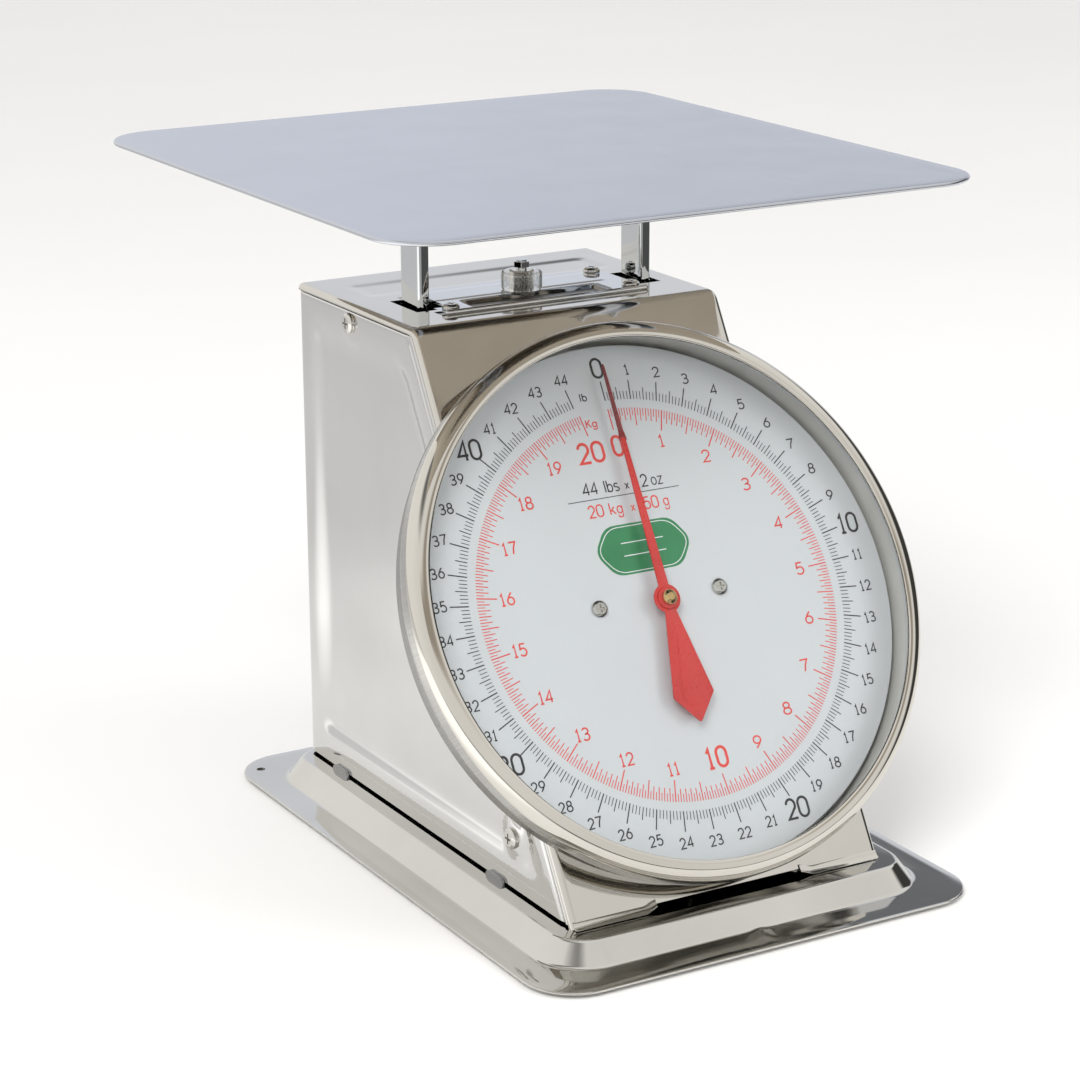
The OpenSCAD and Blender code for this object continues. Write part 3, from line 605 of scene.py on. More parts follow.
def side_point(side):
    def at(column, z):
        kind, value = column
        front = front_y(z, 2.8)
        if kind == "edge":  # mm inside the front edge
            y = front + value
        elif kind == "share":  # share of the way to the rear corner
            y = front + EDGE_BAND + value * (BACK_Y - REAR_R - front - EDGE_BAND)
        else:
            y = BACK_Y - REAR_R
        near = min((y - front) * COS, SIDE_TOP - z)
        edge = 0.7 * (1 - math.sqrt(1 - (1 - near) ** 2)) if near < 1 else 0.0
        field = pressed(((y - front_y(z)) * COS - 9.5) / 14, (BACK_Y - y - 9) / 10.5,
                        (TOP_Z - z - 9) / 13, (z - DECK_Z - 8.5) / 10.5)
        for sy, sz in SIDE_SCREWS:
            field *= ease((math.hypot(y - sy, z - sz) - 5) / 5)
        groove = 0.55 * math.exp(-(((y - front_y(z)) * COS - 5.2) / 1.1) ** 2) * ease((near + 0.5) / 3)
        x = BODY_HW - edge - groove - 2.4 * field
        if kind == "corner":  # degrees round the rear corner
            a = math.radians(value)
            return (side * (BODY_HW - REAR_R + REAR_R * math.cos(a)), BACK_Y - REAR_R + REAR_R * math.sin(a), z)
        if kind == "return":  # X on the back
            return (side * value, BACK_Y, z)
        return (side * x, y, z)
    return at


def make_side(name, side, node):
    columns = [("edge", e) for e in (0, 0.12, 0.3, 0.6, 0.9, 1.2, 1.6, 2, 2.5, 3, 3.5, 4, 4.5, 5, 5.5, 6,
                                     EDGE_BAND)]
    columns += [("share", i / 80) for i in range(1, 81)]
    columns += [("corner", a) for a in range(15, 91, 15)] + [("return", x) for x in (59, 57, 55.5, 54.4, 54)]
    rows = fill([DECK_Z + 1.1, 17, 32, 178, 197, SIDE_TOP - 1], 2.2) + [SIDE_TOP - e for e in (0.6, 0.3, 0.1, 0)]
    verts, faces = grid(columns, rows, side_point(side))
    piece(name, verts, faces, SIDE_STEEL, "root", stands_for=[node], slot="polished_steel",
          thickness=SHEET * side, crease=55)


make_side("side_panel_left", -1, "left_side_panel")
make_side("side_panel_right", 1, "right_side_panel")


def make_rear():
    hw, low, high, y = 59.5, DECK_Z + 1, TOP_Z - 1.3, BACK_Y - 0.8

    def at(x, z):
        return (x, y - 2.0 * pressed((hw - abs(x) - 13) / 9, (z - low - 10) / 9, (high - z - 12) / 9), z)

    verts, faces = grid(fill([-hw, hw], 2.5), fill([low, high], 2.5), at)
    piece("rear_sheet", verts, faces, POLISHED, "root", stands_for=["rear_panel"], slot="polished_steel",
          thickness=-SHEET)


make_rear()


# flared foot of the front cover at its two corners, and the lugs that hold the side panels' lower edges
for side, name in ((-1, "left"), (1, "right")):
    flare = [(0, 2.6), (0.1, 1.9), (0.35, 1.3), (0.8, 0.85), (1.3, 0.62), (1.5, 0.45), (1.3, 0.3), (0.6, 0.25),
             (-0.3, 0.6), (-0.5, 2.6)]
    ring = [[(side * x, FOOT_Y + z * TAN - a * out + 0.3 * (1 - out), DECK_Z + z + up) for a, z in flare]
            for x, out, up in ((FOOT_IN - 3, 0.2, 1.5), (FOOT_IN - 1, 0.5, 0.9), (FOOT_IN + 1, 0.9, 0.2),
                               (FOOT_IN + 2.5, 1, 0), (50, 1, 0), (64, 1, 0), (65.2, 0.7, 0))]
    verts, faces = loft(ring)
    piece("front_foot_" + name, verts, faces, POLISHED, "root", slot="polished_steel", crease=60)
    for y, tag in ((-46, "front"), (79, "rear")):
        lug = [(y - 6.5, 0), (y - 5.6, 1.6), (y - 4, 2.3), (y + 4, 2.3), (y + 5.6, 1.6), (y + 6.5, 0)]
        verts, faces = loft([[(side * x, a, DECK_Z + b) for a, b in lug] for x in (66.1, 67.2)])
        piece(f"panel_lug_{tag}_{name}", verts, faces, SPRING, "root", slot="polished_steel", crease=25)


# ---------- hanger plate ----------

def make_hanger_plate():
    z = TOP_Z + 1.0

    def at(x, y):
        a, b, c, d = HANGER_OPENING
        near = math.hypot(max(0, a - x, x - b), max(0, c - y, y - d))
        lip = 1.4 * (1 - ease(near / 2.4))
        crown = 0.25 * pressed((40 - abs(x)) / 4, (y - 46) / 3, (64 - y) / 3)
        return (x, y, z - lip + crown - 0.25)

    def hole(x, y, _):
        return in_any(x, y, [HANGER_OPENING, POST_SLOTS[0]])

    xs = fill([-44, -38, -30.4, -28, 28, 30.4, 44], 1.6)
    ys = fill([29, 30.1, 32.5, 37.5, 42, 44.4, 59.5, 67], 1.2)
    verts, faces = grid(xs, ys, at, hole)
    piece("hanger_plate_top", verts, faces, CHROME, "root", stands_for=["hanger_plate"], slot="chrome_plate",
          thickness=-SHEET, crease=45)
    end = [(-44, 0.3), (-43.8, 0.8), (-43.2, 1.0)]  # x, radius
    along = end + [(i * 8.64, 1.0) for i in range(-4, 5)] + [(-x, r) for x, r in end[::-1]]
    roll = [[(x, 28 + r * math.cos(a), z - 0.2 + r * math.sin(a)) for a in circle(16)] for x, r in along]
    piece("hanger_plate_roll", *loft(roll), CHROME, "root", slot="chrome_plate", crease=50)


make_hanger_plate()


# ---------- posts ----------

POST_Y, POST_LOW, POST_HIGH = 48.4, 72.0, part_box("left_post")[1].z / MM


def make_post(name, x0, node):
    """A channel open towards +X. x0 is the outside of its web."""
    d, t, w, r = 15.4 / 2, 1.5, 4.5, 1.9  # half depth, wall, width, outer corner
    y0, y1 = POST_Y - d, POST_Y + d
    outline = [(x0 + w, y0 + t * 0.9), (x0 + w - 0.15, y0 + 0.12), (x0 + w - 0.5, y0)]
    outline += arc(x0 + r, y0 + r, r, 270, 180, 7) + arc(x0 + r, y1 - r, r, 180, 90, 7)
    outline += [(x0 + w - 0.5, y1), (x0 + w - 0.15, y1 - 0.12), (x0 + w, y1 - t * 0.9), (x0 + w - 0.4, y1 - t)]
    outline += arc(x0 + t + 0.6, y1 - t - 0.6, 0.6, 90, 180, 4)
    outline += arc(x0 + t + 0.6, y0 + t + 0.6, 0.6, 180, 270, 4) + [(x0 + w - 0.4, y0 + t)]
    rings = [[(x, y, z) for x, y in outline] for z in fill([POST_LOW, POST_HIGH], 12)]
    piece(name, *loft(rings), CHROME, "carriage", stands_for=[node], slot="chrome_plate", crease=40)


make_post("post_left", -48.5, "left_post")
make_post("post_right", 48.5, "right_post")


# ---------- platform ----------

def make_platform():
    lo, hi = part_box("platform")
    hw, hd = hi.x / MM, (hi.y - lo.y) / 2 / MM
    cy, z0, z1 = (hi.y + lo.y) / 2 / MM + MID_Y, lo.z / MM, hi.z / MM
    r, e = 22, (z1 - z0) / 2  # corners, and the rounding of the edge
    rings = [round_ring(hw - 6, hd - 6, r - 6, z0, 24, 2)]
    for a in [math.radians(i) for i in range(-90, 91, 15)]:
        inset = e * (1 - math.cos(a))
        rings.append(round_ring(hw - inset, hd - inset, r - inset, z0 + e + e * math.sin(a), 24, 2))
    rings.append(round_ring(hw - 6, hd - 6, r - 6, z1, 24, 2))
    verts, faces = loft([[(x, y + cy, z) for x, y, z in ring] for ring in rings])
    # the lower quarter of the pan's rounded edge and its underside take the darker copy: painted shade
    piece("weighing_pan", verts, faces, [PAN_STEEL, PAN_SHADED_UNDERSIDE], "platform", stands_for=["platform"],
          slot="satin_steel", crease=60, choose=lambda p: 1 if p.z < z0 + 0.25 * e else 0)


make_platform()


# ---------- dial ----------

def rounded(points, r, n=5):
    """A closed outline with its corners rounded by r."""
    out = []
    for i, p in enumerate(points):
        a, b = points[i - 1], points[(i + 1) % len(points)]
        u = Vector((a[0] - p[0], a[1] - p[1]))
        v = Vector((b[0] - p[0], b[1] - p[1]))
        reach = min(r, u.length / 2.1, v.length / 2.1)
        u, v = u.normalized() * reach, v.normalized() * reach
        for k in range(n + 1):
            t = k / n
            out.append((p[0] + u.x * (1 - t) ** 2 + v.x * t * t, p[1] + u.y * (1 - t) ** 2 + v.y * t * t))
    return out


DRUM_R, BEZEL_R, WINDOW_R = 101.7, 104.8, 97.5
FACE_R, LENS_R, LENS_RING_R = 98.5, 101.5, 33.6
LENS_BACK, LENS_FRONT = 9.9, 11.9

drum = [(DRUM_R - 1, -7.6), (DRUM_R - 0.2, -7.6), (DRUM_R, -7.3), (DRUM_R, 8.2), (DRUM_R - 1, 8.2)]
revolve("dial_drum_ring", drum, 256, [SKIRT_STEEL, LINING], "root", stands_for=["dial_drum"], slot="drum_steel",
        crease=50, choose=lambda p: 1 if math.hypot(p.x, p.y) < DRUM_R - 0.7 else 0)

plate = [(0, -1), (FACE_R - 0.2, -1), (FACE_R, -0.8), (FACE_R, -0.2), (FACE_R - 0.2, 0), (0, 0)]
revolve("dial_face", plate, 192, FACE_WHITE, "root", stands_for=["dial_plate"], slot="dial_white")

# a fine moulded ring stands on the lens
lens = [(0, LENS_BACK), (LENS_R, LENS_BACK), (LENS_R, LENS_FRONT)]
lens += [(LENS_RING_R + a, LENS_FRONT + b) for a, b in
         ((0.44, 0), (0.32, 0), (0.18, 0.05), (0, 0.08), (-0.18, 0.05), (-0.32, 0), (-0.44, 0))]
lens.append((0, LENS_FRONT))
revolve("dial_lens", lens, 192, LENS, "root", stands_for=["lens"], slot="lens_glass", crease=12)

# the bezel: its skirt and rolled front, the lip at the window, then the inside
roll, roll_r, roll_h = 5.4, BEZEL_R - 5.4, 8.4
outer = [(BEZEL_R - 0.55, 2.5), (BEZEL_R - 0.2, 2.62), (BEZEL_R, 2.95), (BEZEL_R, 4.6), (BEZEL_R, 6.6)]
outer += [(roll_r + roll * math.cos(math.radians(a)), roll_h + roll * math.sin(math.radians(a)))
          for a in range(0, 109, 6)]
lip_h = outer[-1][1]
outer += [(WINDOW_R + 0.12, lip_h - 0.25), (WINDOW_R, lip_h - 0.6), (WINDOW_R, 12.35), (WINDOW_R + 0.25, 12.1),
          (WINDOW_R + 0.7, 12.0)]
inner = [(roll_r + 0.5, 12.2), (101.2, 11.95), (102.6, 11.0), (103.5, 9.7), (103.8, 8.4), (103.8, 4.4),
         (101.8, 4.2), (101.8, 2.5)]
revolve("dial_bezel", outer + inner, 288, [BEZEL_STEEL, SKIRT_STEEL], "root", stands_for=["bezel"],
        slot="polished_steel", crease=60,
        choose=lambda p: 1 if math.hypot(p.x, p.y) > BEZEL_R - 0.2 and p.z < 8.5 else 0)


# ---------- print on the dial ----------

PRINT = 0.05


def ribbon(points, width, closed=False, high=PRINT):
    """A printed line along points, as a thin solid."""
    n = len(points)
    pts = [Vector(p) for p in points]
    verts, faces = [], []
    for i, p in enumerate(pts):
        before = pts[i - 1] if closed or i else None
        after = pts[(i + 1) % n] if closed or i < n - 1 else None
        u = (p - before).normalized() if before is not None else (after - p).normalized()
        v = (after - p).normalized() if after is not None else u
        side = Vector((-(u + v).y, (u + v).x))
        side = side.normalized() if side.length > 1e-3 else Vector((-u.y, u.x))
        side *= width / 2 / max(0.45, side.dot(Vector((-u.y, u.x))))
        for z in (0, high):
            verts += [(*(p + side), z), (*(p - side), z)]
    for i in range(n if closed else n - 1):
        a, b = 4 * i, 4 * ((i + 1) % n)
        faces += [(a + 2, a + 3, b + 3, b + 2), (a, b, b + 1, a + 1), (a, a + 2, b + 2, b),
                  (a + 1, b + 1, b + 3, a + 3)]
    if not closed:
        last = 4 * (n - 1)
        faces += [(0, 1, 3, 2), (last, last + 2, last + 3, last + 1)]
    return verts, faces


def loop(cx, cy, rx, ry):
    return tuple(bow(cx, cy, rx, ry, 90, 450, 24)[:-1])


# strokes in a unit box: a list is open and a tuple is closed
GLYPHS = {
    "0": [tuple(bow(0.5, 0.7, 0.5, 0.3, 0, 180, 12) + bow(0.5, 0.3, 0.5, 0.3, 180, 360, 12))],
    "1": [[(0.15, 0.78), (0.5, 1), (0.5, 0)], [(0.15, 0), (0.85, 0)]],
    "2": [bow(0.5, 0.7, 0.46, 0.3, 170, -35) + [(0.04, 0), (1, 0)]],
    "3": [bow(0.47, 0.755, 0.43, 0.245, 155, -90) + bow(0.47, 0.265, 0.5, 0.265, 88, -150)],
    "4": [[(0.78, 0), (0.78, 1), (0, 0.27), (1, 0.27)]],
    "5": [[(0.88, 1), (0.18, 1), (0.1, 0.55)] + bow(0.48, 0.32, 0.5, 0.32, 135, -150)],
    "6": [[(0.76, 1), (0.4, 0.76), (0.14, 0.5), (0.03, 0.36)], loop(0.5, 0.31, 0.48, 0.31)],
    "7": [[(0, 1), (1, 1), (0.62, 0.5), (0.42, 0)]],
    "8": [loop(0.5, 0.76, 0.4, 0.24), loop(0.5, 0.27, 0.5, 0.27)],
    "9": [[(0.24, 0), (0.6, 0.24), (0.86, 0.5), (0.97, 0.64)], loop(0.5, 0.69, 0.48, 0.31)],
    "l": [[(0.5, 0), (0.5, 1)]],
    "b": [[(0.06, 1), (0.06, 0)], loop(0.5, 0.32, 0.44, 0.32)],
    "K": [[(0.05, 1), (0.05, 0)], [(0.95, 1), (0.07, 0.42)], [(0.32, 0.6), (1, 0)]],
    "k": [[(0.06, 1), (0.06, 0)], [(0.85, 0.64), (0.08, 0.24)], [(0.34, 0.38), (0.95, 0)]],
    "g": [loop(0.48, 0.33, 0.44, 0.3),
          [(0.92, 0.64), (0.92, -0.08)] + bow(0.48, -0.06, 0.44, 0.26, -4, -165, 10)],
    "s": [bow(0.5, 0.49, 0.4, 0.155, 40, 250, 10) + bow(0.5, 0.165, 0.42, 0.17, 90, -140, 10)],
    "o": [loop(0.5, 0.32, 0.46, 0.32)],
    "z": [[(0.06, 0.64), (0.9, 0.64), (0.06, 0), (0.94, 0)]],
    "x": [[(0.1, 0.12), (0.9, 0.62)], [(0.1, 0.62), (0.9, 0.12)]],
}
NARROW = {"1": 0.7, "l": 0.4}


def lettering(text, cx, cy, height, width, stroke, gap):
    """Upright figures centred on (cx, cy). height and width run between the middle lines of the strokes."""
    widths = [width * NARROW.get(c, 1) for c in text]
    x = cx - (sum(widths) + gap * (len(text) - 1)) / 2
    parts = []
    for c, w in zip(text, widths):
        for k, line in enumerate(GLYPHS[c]):
            shape = [(x + w * px, cy + height * (py - 0.5)) for px, py in line]
            parts.append(ribbon(shape, stroke, isinstance(line, tuple), PRINT + 0.004 * k))
        x += w + gap
    return parts


def words(*rows):
    """Lettering from rows of (text, x, y, figure width, stroke, gap)."""
    return [part for text, x, y, *shape in rows for part in lettering(text, x, y, 4.4, *shape)]


def polar(r, degrees):
    """The point at a radius, so many degrees clockwise from the top."""
    a = math.radians(degrees)
    return r * math.sin(a), r * math.cos(a)


def tick(near, far, degrees, width):
    return ribbon([polar(near, degrees), polar(far, degrees)], width)


def printed(name, parts, ink):
    piece(name, *gather(parts), ink, "root", place=ON_DIAL)


FULL_KG, FULL_LB = 20, 44
KG_TURN = 350.3 / FULL_KG  # degrees of pointer turn per kg and per lb
LB_TURN = KG_TURN / 2.20462

ticks = []
for i in range(FULL_LB * 8 + 1):
    far, w = (85.0, 0.45) if i % 8 == 0 else (82.3, 0.34) if i % 4 == 0 else (80.7, 0.28)
    ticks.append(tick(77.5, far, i * LB_TURN / 8, w))
printed("lb_ticks", ticks, INK_BLACK)

ticks = []
for i in range(FULL_KG * 20 + 1):
    near, w = (66.2, 0.45) if i % 20 == 0 else (67.3, 0.4) if i % 10 == 0 else (69.3, 0.34) if i % 2 == 0 \
        else (71.2, 0.3)
    ticks.append(tick(near, 74.2, i * KG_TURN / 20, w))
printed("kg_ticks", ticks, INK_RED)

figures = []
for n in range(FULL_LB + 1):
    if n % 10 == 0:
        figures += lettering(str(n), *polar(90.2, n * LB_TURN), 7.2, 4.0 if n else 4.2, 0.95, 1.2)
    else:
        figures += lettering(str(n), *polar(89.0, n * LB_TURN), 3.7, 2.55 if n < 10 else 2.2, 0.52, 0.85)
figures += lettering("lb", -9.0, 80.0, 2.9, 1.75, 0.45, 0.55)
printed("lb_figures", figures, INK_BLACK)

figures = []
for n in range(1, FULL_KG):
    if n == 10:
        figures += lettering(str(n), *polar(60.1, n * KG_TURN), 7.2, 4.1, 1.1, 1.6)
    else:
        figures += lettering(str(n), *polar(62.2, n * KG_TURN), 4.4, 3.2 if n < 10 else 2.7, 0.6, 0.9)
figures += lettering("0", -0.2, 60.0, 7.3, 3.9, 1.1, 1.2)
figures += lettering("20", -11.9, 59.0, 7.3, 4.5, 1.1, 1.5)
figures += lettering("Kg", -8.4, 69.8, 2.9, 2.0, 0.45, 0.6)
printed("kg_figures", figures, INK_RED)

figures = words(("44", -16.4, 45.6, 2.6, 0.55, 0.8), ("lbs", -7.3, 45.6, 2.3, 0.5, 0.45),
                ("x", -0.8, 45.2, 1.8, 0.42, 0.5), ("2", 6.8, 45.6, 2.6, 0.55, 0.5),
                ("oz", 12.2, 45.6, 2.2, 0.45, 0.5))
figures.append(ribbon([(-26.9, 41.5), (20.7, 41.5)], 0.3))
printed("capacity_in_lb", figures, INK_BLACK)

figures = words(("20", -16.4, 37.1, 2.6, 0.55, 0.8), ("kg", -7.9, 37.1, 2.4, 0.5, 0.6),
                ("x", -0.8, 36.7, 1.8, 0.42, 0.5), ("50", 7.2, 37.1, 2.6, 0.55, 0.8),
                ("g", 13.6, 37.1, 2.2, 0.45, 0.5))
printed("capacity_in_kg", figures, INK_RED)

BADGE_X, BADGE_Y, BADGE_HW, BADGE_HH, BADGE_CUT = -0.85, 21.3, 20.6, 9.4, 6.5


def lozenge(inset):
    w, h = BADGE_HW - inset * 1.25, BADGE_HH - inset
    u = w - BADGE_CUT
    side = [(-w, 0), (-u, h), (u, h), (w, 0), (u, -h), (-u, -h)]
    return rounded([(BADGE_X + x, BADGE_Y + y) for x, y in side], 4.0, 6)


printed("dial_badge", [extrude(lozenge(0), 0, PRINT)], INK_GREEN)
lines = [ribbon(lozenge(0.9), 0.3, True, PRINT + 0.02)]
for v in (-2.4, 2.4):
    lines.append(ribbon([(BADGE_X - 9, BADGE_Y + v), (BADGE_X + 9, BADGE_Y + v)], 0.35, high=PRINT + 0.02))
printed("dial_badge_line", lines, INK_PALE)


# ---------- pointer ----------

def plate_shape(outline, z0, z1, edge):
    """A flat plate with eased edges. outline is counter-clockwise."""
    n = len(outline)

    def inset(by):
        out = []
        for i in range(n):
            a, p, b = Vector(outline[i - 1]), Vector(outline[i]), Vector(outline[(i + 1) % n])
            u, v = (p - a).normalized(), (b - p).normalized()
            side = Vector((-(u + v).y, (u + v).x)).normalized()
            out.append(p + side * by / max(0.5, side.dot(Vector((-u.y, u.x)))))
        return out

    small = edge * 0.3
    steps = [(z0, edge), (z0 + small, small), (z0 + edge, 0), (z1 - edge, 0), (z1 - small, small), (z1, edge)]
    return loft([[(p.x, p.y, z) for p in inset(by)] for z, by in steps])


POINTER_LOW, POINTER_HIGH = 4.5, 5.1
HUB_R, STEP_V, TIP_V = 5.4, 61.5, 90.2  # the hub, and how far the flat blade and the tip reach

blade_end = [(1.0, STEP_V - 0.4), (0.5, STEP_V + 0.2), (-0.5, STEP_V + 0.2), (-1.0, STEP_V - 0.4)]
hub_left = arc(0, 0, HUB_R, 113.0, 244.1, 20)
hub_right = arc(0, 0, HUB_R, -64.1, 67.0, 20)
tail = [(-8.55, -36.3), (-8.2, -36.9), (-0.5, -46.3), (0, -46.4), (0.5, -46.3), (8.2, -36.9), (8.55, -36.3)]
blade = plate_shape(blade_end + hub_left + tail + hub_right, POINTER_LOW, POINTER_HIGH, 0.14)
piece("pointer_blade", *blade, POINTER_RED, "pointer", place=ON_DIAL, stands_for=["pointer"], slot="pointer_red",
      crease=60)

# the tip is turned on edge, to be read without parallax
tip, thick, mid = [], 0.24, (POINTER_LOW + POINTER_HIGH) / 2
for t in [i / 24 for i in range(25)]:
    v = STEP_V - 1.0 + (TIP_V - STEP_V + 1.0) * t
    turn = math.radians(84) * ease(t / 0.12)
    c, s = math.cos(turn), math.sin(turn)
    half = (1.35 - 0.75 * t) * (1 if t < 0.97 else 0.45)
    tip.append([(a * c - b * s, v, mid + a * s + b * c)
                for a, b in ((-half, -thick), (half, -thick), (half, thick), (-half, thick))])
# the tip takes the darker copy of the pointer red: painted shade
piece("pointer_tip", *loft(tip), POINTER_SHADED_TIP, "pointer", place=ON_DIAL, slot="pointer_red", crease=60)

# pressed rib round the left of the tail
rib = [(0.4, -8.8), (-1.6, -22.0), (-4.6, -35.6), (-4.0, -38.0), (-1.2, -41.6)]
spine = []
for a, b in zip(rib, rib[1:]):
    spine += [Vector(a).lerp(Vector(b), i / 6) for i in range(6)]
spine.append(Vector(rib[-1]))
rings = []
for i, p in enumerate(spine):
    d = (spine[min(i + 1, len(spine) - 1)] - spine[max(i - 1, 0)]).normalized()
    side = Vector((-d.y, d.x))
    full = min(1, (i + 0.6) / 3, (len(spine) - i - 0.4) / 3)
    rings.append([(*(p + side * 0.42 * full * math.cos(a)), POINTER_HIGH - 0.06 + 0.3 * full * math.sin(a))
                  for a in [math.radians(step) for step in (180, 144, 108, 72, 36, 0, -90)]])
piece("pointer_rib", *loft(rings), POINTER_RED, "pointer", place=ON_DIAL, slot="pointer_red", crease=60)

boss = [(0, POINTER_HIGH - 0.3), (4.2, POINTER_HIGH - 0.3), (4.2, 5.75), (4.0, 6.0), (3.8, 6.1), (0, 6.1)]
revolve("pointer_boss", boss, 64, POINTER_RED, "pointer", slot="pointer_red", crease=40)


# ---------- zero knob ----------

KNOB_R = 7.9
KNOB_AT = Matrix.Translation((0, (POST_Y - MID_Y) * MM, 0)) @ Matrix.Scale(MM, 4)


def knurled(name, node, teeth, r_tip, r_root, hole, low, high, material, slot):
    """A ring with rounded teeth in place of a CAD node. low and high are lists of (mm in from that end, share of
    the radius there)."""
    z0, z1 = [corner.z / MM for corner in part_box(node)]
    turns = circle(teeth * 6)

    def bore(z):
        return [(hole * math.cos(t), hole * math.sin(t), z) for t in turns]

    def toothed(z, share):
        radii = [(r_root + (r_tip - r_root) * (0.5 + 0.5 * math.cos(teeth * t)) ** 0.8) * share for t in turns]
        return [(r * math.cos(t), r * math.sin(t), z) for r, t in zip(radii, turns)]

    rings = [toothed(z0 + z, share) for z, share in low] + [toothed(z1 - z, share) for z, share in high]
    rings = [bore(z0)] + rings + [bore(z1)]
    verts, faces = loft(rings, cap=False)
    n, last = len(turns), (len(rings) - 1) * len(turns)
    faces += [(last + j, last + (j + 1) % n, (j + 1) % n, j) for j in range(n)]
    piece(name, verts, faces, material, "zero_knob", place=KNOB_AT, crease=40, stands_for=[node], slot=slot)


knurled("zero_knob_rim", "zero_knob", 26, KNOB_R, KNOB_R - 0.75, 4.8, [(0, 0.95), (0.4, 0.99), (0.8, 1)],
        [(1.3, 1), (0.6, 0.985), (0.2, 0.95), (0, 0.9)], PLASTIC, "clear_plastic")
knurled("zero_knob_core", "knob_insert", 30, 4.74, 4.2, 2.1, [(0, 0.93), (0.4, 1)],
        [(0.8, 1), (0.3, 0.97), (0, 0.9)], SCREW, "chrome_plate")


# ---------- springs ----------

def sweep(path, r, sides=12):
    """A round wire along a path."""
    rings, normal = [], None
    for i, p in enumerate(path):
        d = (path[min(i + 1, len(path) - 1)] - path[max(i - 1, 0)]).normalized()
        normal = d.orthogonal() if normal is None else normal - d * normal.dot(d)
        normal.normalize()
        other = d.cross(normal)
        rings.append([tuple(p + (normal * math.cos(a) + other * math.sin(a)) * r) for a in circle(sides)])
    return loft(rings)


COIL_R, WIRE_R, EYE_R = 6.3, 1.2, 4.6  # to the middle of the wire
COIL_LOW, COIL_HIGH, COILS = 116.35, 179.95, 26.5
PIN_HIGH, PIN_LOW = 186.5, 109.8


def make_spring(name, cx, node):
    path = []
    n = int(COILS * 28)  # 28 steps a turn
    for i in range(n + 1):
        t = i / n
        a = 2 * math.pi * COILS * t
        path.append(Vector((COIL_R * math.cos(a), COIL_R * math.sin(a), COIL_LOW + (COIL_HIGH - COIL_LOW) * t)))

    def eye(start, z_pin, up):
        """Bends from the coil's end into a loop that stands round its pin."""
        turn = 1 if start.x > 0 else -1
        first = Vector((turn * EYE_R, 0, z_pin))
        pull = start + Vector((0, 0, (z_pin - start.z) * 0.45))
        bend = [start * (1 - t) ** 2 + pull * 2 * t * (1 - t) + first * t * t
                for t in [i / 8 for i in range(1, 9)]]
        return bend + [Vector((turn * EYE_R * math.cos(a), 0, z_pin + up * EYE_R * math.sin(a)))
                       for a in [math.radians(300) * i / 25 for i in range(1, 26)]]

    path = eye(path[0], PIN_LOW, -1)[::-1] + path + eye(path[-1], PIN_HIGH, 1)
    wire = sweep([p + Vector((cx, POST_Y, 0)) for p in path], WIRE_R)
    o = piece(name, *wire, SPRING, None, crease=60, stands_for=[node], slot="spring_steel")
    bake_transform(o)


make_spring("extension_spring_left", -22, "left_spring")
make_spring("extension_spring_right", 22, "right_spring")


# ---------- other CAD parts ----------

FINISH = {"polished_steel": POLISHED, "chrome_plate": CHROME, "satin_steel": PAN_STEEL,
          "drum_steel": DRUM_STEEL, "zinc_steel": ZINC, "spring_steel": SPRING, "screw_steel": SCREW,
          "brass": BRASS, "dial_white": FACE_WHITE, "pointer_red": POINTER_RED, "lens_glass": LENS,
          "black_rubber": RUBBER, "clear_plastic": PLASTIC}
for part in frame["record"]["subparts"]:
    mesh = nodes[part["node"]].data
    mesh.materials.clear()
    mesh.materials.append(FINISH[part["material_slot"]])
nodes["lens_gasket"].data.materials[0] = GASKET
for name in ("frame_screws", "housing_screws", "side_screws", "rear_screws", "plate_screws", "dial_screws",
             "foot_screws", "left_rail", "right_rail", "top_bridge", "stop_bar", "post_rivets", "screw_nut",
             "hanger_bar", "arbor_nut", "rubber_feet"):
    soften(name)


# ---------- set ----------

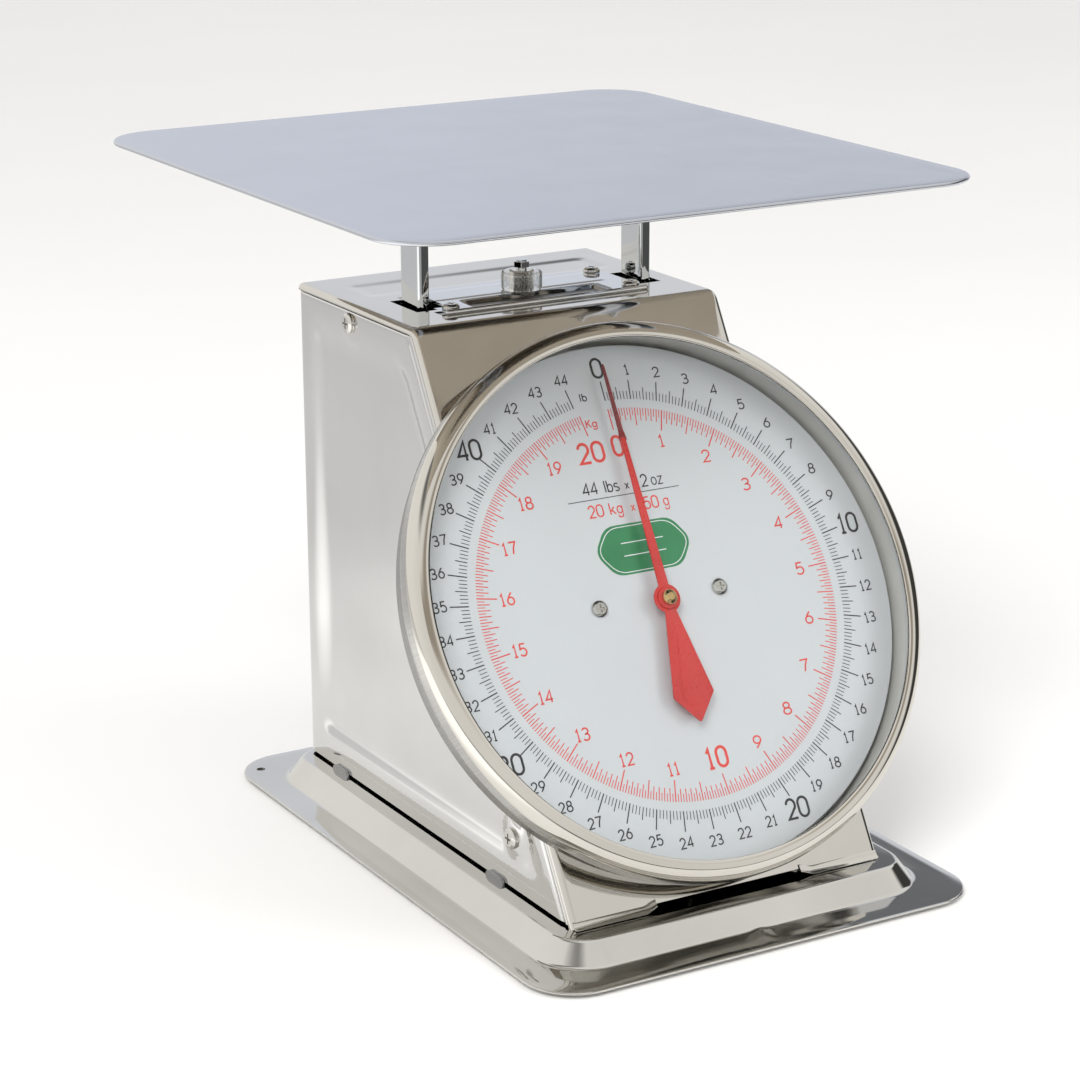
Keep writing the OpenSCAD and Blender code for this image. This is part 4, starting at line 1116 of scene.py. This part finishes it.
def world():
    """Near white for the camera, and the studio's tent and flags for everything else."""
    w = bpy.data.worlds.new("studio")
    bpy.context.scene.world = w
    w.use_nodes = True
    k = Nodes(w.node_tree)
    out = k.add("ShaderNodeOutputWorld")
    back = k.add("ShaderNodeBackground", (("Color", (1, 1, 1, 1)), ("Strength", 0.97)))
    sky = k.add("ShaderNodeBackground")
    mix = k.add("ShaderNodeMixShader")
    is_camera = k.add("ShaderNodeLightPath").outputs["Is Camera Ray"]
    way = k.add("ShaderNodeTexCoord").outputs["Generated"]
    axes = k.add("ShaderNodeSeparateXYZ")
    k.link(way, axes.inputs[0])
    x, y, z = axes.outputs

    def step(value, low, high):
        n = k.add("ShaderNodeMapRange", (("From Min", low), ("From Max", high)), interpolation_type="SMOOTHSTEP")
        k.link(value, n.inputs["Value"])
        return n.outputs["Result"]

    def between(value, low, high, soft):
        return k.math("MULTIPLY", step(value, low - soft, low + soft), step(value, high + soft, high - soft))

    # a white tent, cooler at the back right, with a black flag to the right and grey ones above and behind
    turn = k.math("ARCTAN2", x, k.math("MULTIPLY", y, -1.0))
    level = k.math("ADD", k.math("MULTIPLY", step(y, -0.9, 0.3), 0.12), 0.88)
    cool = k.math("MULTIPLY", step(x, -0.1, 0.45), step(y, 0.1, 0.6))
    flags = [(k.math("MULTIPLY", between(z, 0.57, 0.72, 0.05), between(turn, -0.5, 0.69, 0.07)), 0.55),
             (k.math("MULTIPLY", between(z, -0.12, 0.46, 0.05), between(turn, 0.93, 1.95, 0.08)), 0.94),
             (k.math("MULTIPLY", between(z, 0.84, 0.95, 0.05), step(x, -0.1, -0.4)), 0.8),
             (k.math("MULTIPLY", between(z, 0.33, 0.6, 0.05), between(turn, 2.1, 2.62, 0.06)), 0.75),
             (cool, 0.16)]
    for amount, by in flags:
        level = k.math("MULTIPLY", level, k.math("SUBTRACT", 1.0, k.math("MULTIPLY", amount, by)))
    k.link(level, sky.inputs["Strength"])
    warm = k.ramp(flags[0][0], [(0, (1.0, 0.985, 0.955)), (1, (1.0, 0.90, 0.77))])
    tint = k.add("ShaderNodeMix", data_type="RGBA")
    k.link(cool, tint.inputs["Factor"])
    k.link(warm, tint.inputs[6])
    tint.inputs[7].default_value = (0.93, 0.96, 1.04, 1)
    k.link(tint.outputs[2], sky.inputs["Color"])
    k.link(is_camera, mix.inputs[0])
    k.link(sky.outputs[0], mix.inputs[1])
    k.link(back.outputs[0], mix.inputs[2])
    k.link(mix.outputs[0], out.inputs["Surface"])


world()

scene = bpy.context.scene
scene.view_settings.view_transform = "Standard"


def soft_light(name, place, aim, size, power, tint=(1, 1, 1)):
    lamp = bpy.data.lights.new(name, "AREA")
    lamp.shape = "RECTANGLE"
    lamp.size, lamp.size_y = size
    lamp.energy = power
    lamp.color = tint
    o = bpy.data.objects.new(name, lamp)
    o.location = place
    o.rotation_euler = (Vector(aim) - Vector(place)).to_track_quat("-Z", "Y").to_euler()
    o.visible_glossy = False
    scene.collection.objects.link(o)


soft_light("key", (-1.3, -1.2, 1.9), (0, 0, 0.1), (1.2, 1.2), 36, (1, 0.99, 0.97))
soft_light("fill", (1.5, -1.6, 1.3), (0, 0, 0.1), (1.4, 1.4), 14)

floor_mesh = bpy.data.meshes.new("floor")
floor_mesh.from_pydata([(-4, -4, 0), (4, -4, 0), (4, 4, 0), (-4, 4, 0)], [], [(0, 1, 2, 3)])
floor = bpy.data.objects.new("floor", floor_mesh)
scene.collection.objects.link(floor)
paper = coated("floor_paper", (0.90, 0.90, 0.90), (0.93, 0.93, 0.93), 0.75, 0.02, 60, cloud_scale=1.5)
floor_mesh.materials.append(paper)
k = Nodes(paper.node_tree, clear=False)
shader = next(n for n in k.tree.nodes if n.type == "BSDF_PRINCIPLED")
plain = shader.inputs["Base Color"].links[0].from_socket
spot = k.add("ShaderNodeSeparateXYZ")
k.link(next(n for n in k.tree.nodes if n.type == "TEX_COORD").outputs["Object"], spot.inputs[0])
# painted reflection: to glossy rays only, the paper takes a colour ramp along Y, black in front, near white in
# the middle and grey towards the back; the camera sees the plain paper
along = k.ramp(k.span(spot.outputs[1], 0, 1, -1.0, 1.0), [(0.2, (0.03, 0.03, 0.03)), (0.3, (0.86, 0.86, 0.86)),
                                                         (0.58, (0.92, 0.92, 0.92)), (0.7, (0.66, 0.66, 0.665)),
                                                         (1.0, (0.62, 0.62, 0.625))])
glossy = k.add("ShaderNodeLightPath").outputs["Is Glossy Ray"]
# painted highlight seen only in reflections: the paper's front left glows faintly for glossy rays
painted_glow_near_side = k.math("MULTIPLY", k.span(spot.outputs[1], 1, 0, 0.2, 0.34),
                   k.span(spot.outputs[0], 1, 0, -0.25, -0.16))
shader.inputs["Emission Color"].default_value = (1, 0.99, 0.97, 1)
k.link(k.math("MULTIPLY", k.math("MULTIPLY", painted_glow_near_side, glossy), 0.4), shader.inputs["Emission Strength"])
# for glossy rays the painted reflection colour replaces the paper's own
painted_reflection_swap = k.add("ShaderNodeMix", data_type="RGBA")
k.link(glossy, painted_reflection_swap.inputs["Factor"])
k.link(plain, painted_reflection_swap.inputs[6])
k.link(along, painted_reflection_swap.inputs[7])
k.link(painted_reflection_swap.outputs[2], shader.inputs["Base Color"])

CAMERA_AT = (-0.57493, -0.97682, 0.45735)
azimuth, elevation, tip_by = math.radians(30.095), math.radians(16.916), math.radians(-0.25)
look = Vector((math.sin(azimuth) * math.cos(elevation), math.cos(azimuth) * math.cos(elevation),
               -math.sin(elevation)))
right = Vector((math.cos(azimuth), -math.sin(azimuth), 0))
up = right.cross(look)
camera_right = right * math.cos(tip_by) + up * math.sin(tip_by)
camera_up = up * math.cos(tip_by) - right * math.sin(tip_by)
cam = bpy.data.cameras.new("camera")
cam.lens = 103.02
cam.sensor_width = 36
cam_object = bpy.data.objects.new("camera", cam)
turned = Matrix((camera_right, camera_up, -look)).transposed().to_4x4()
cam_object.matrix_world = Matrix.Translation(CAMERA_AT) @ turned
scene.collection.objects.link(cam_object)
scene.camera = cam_object
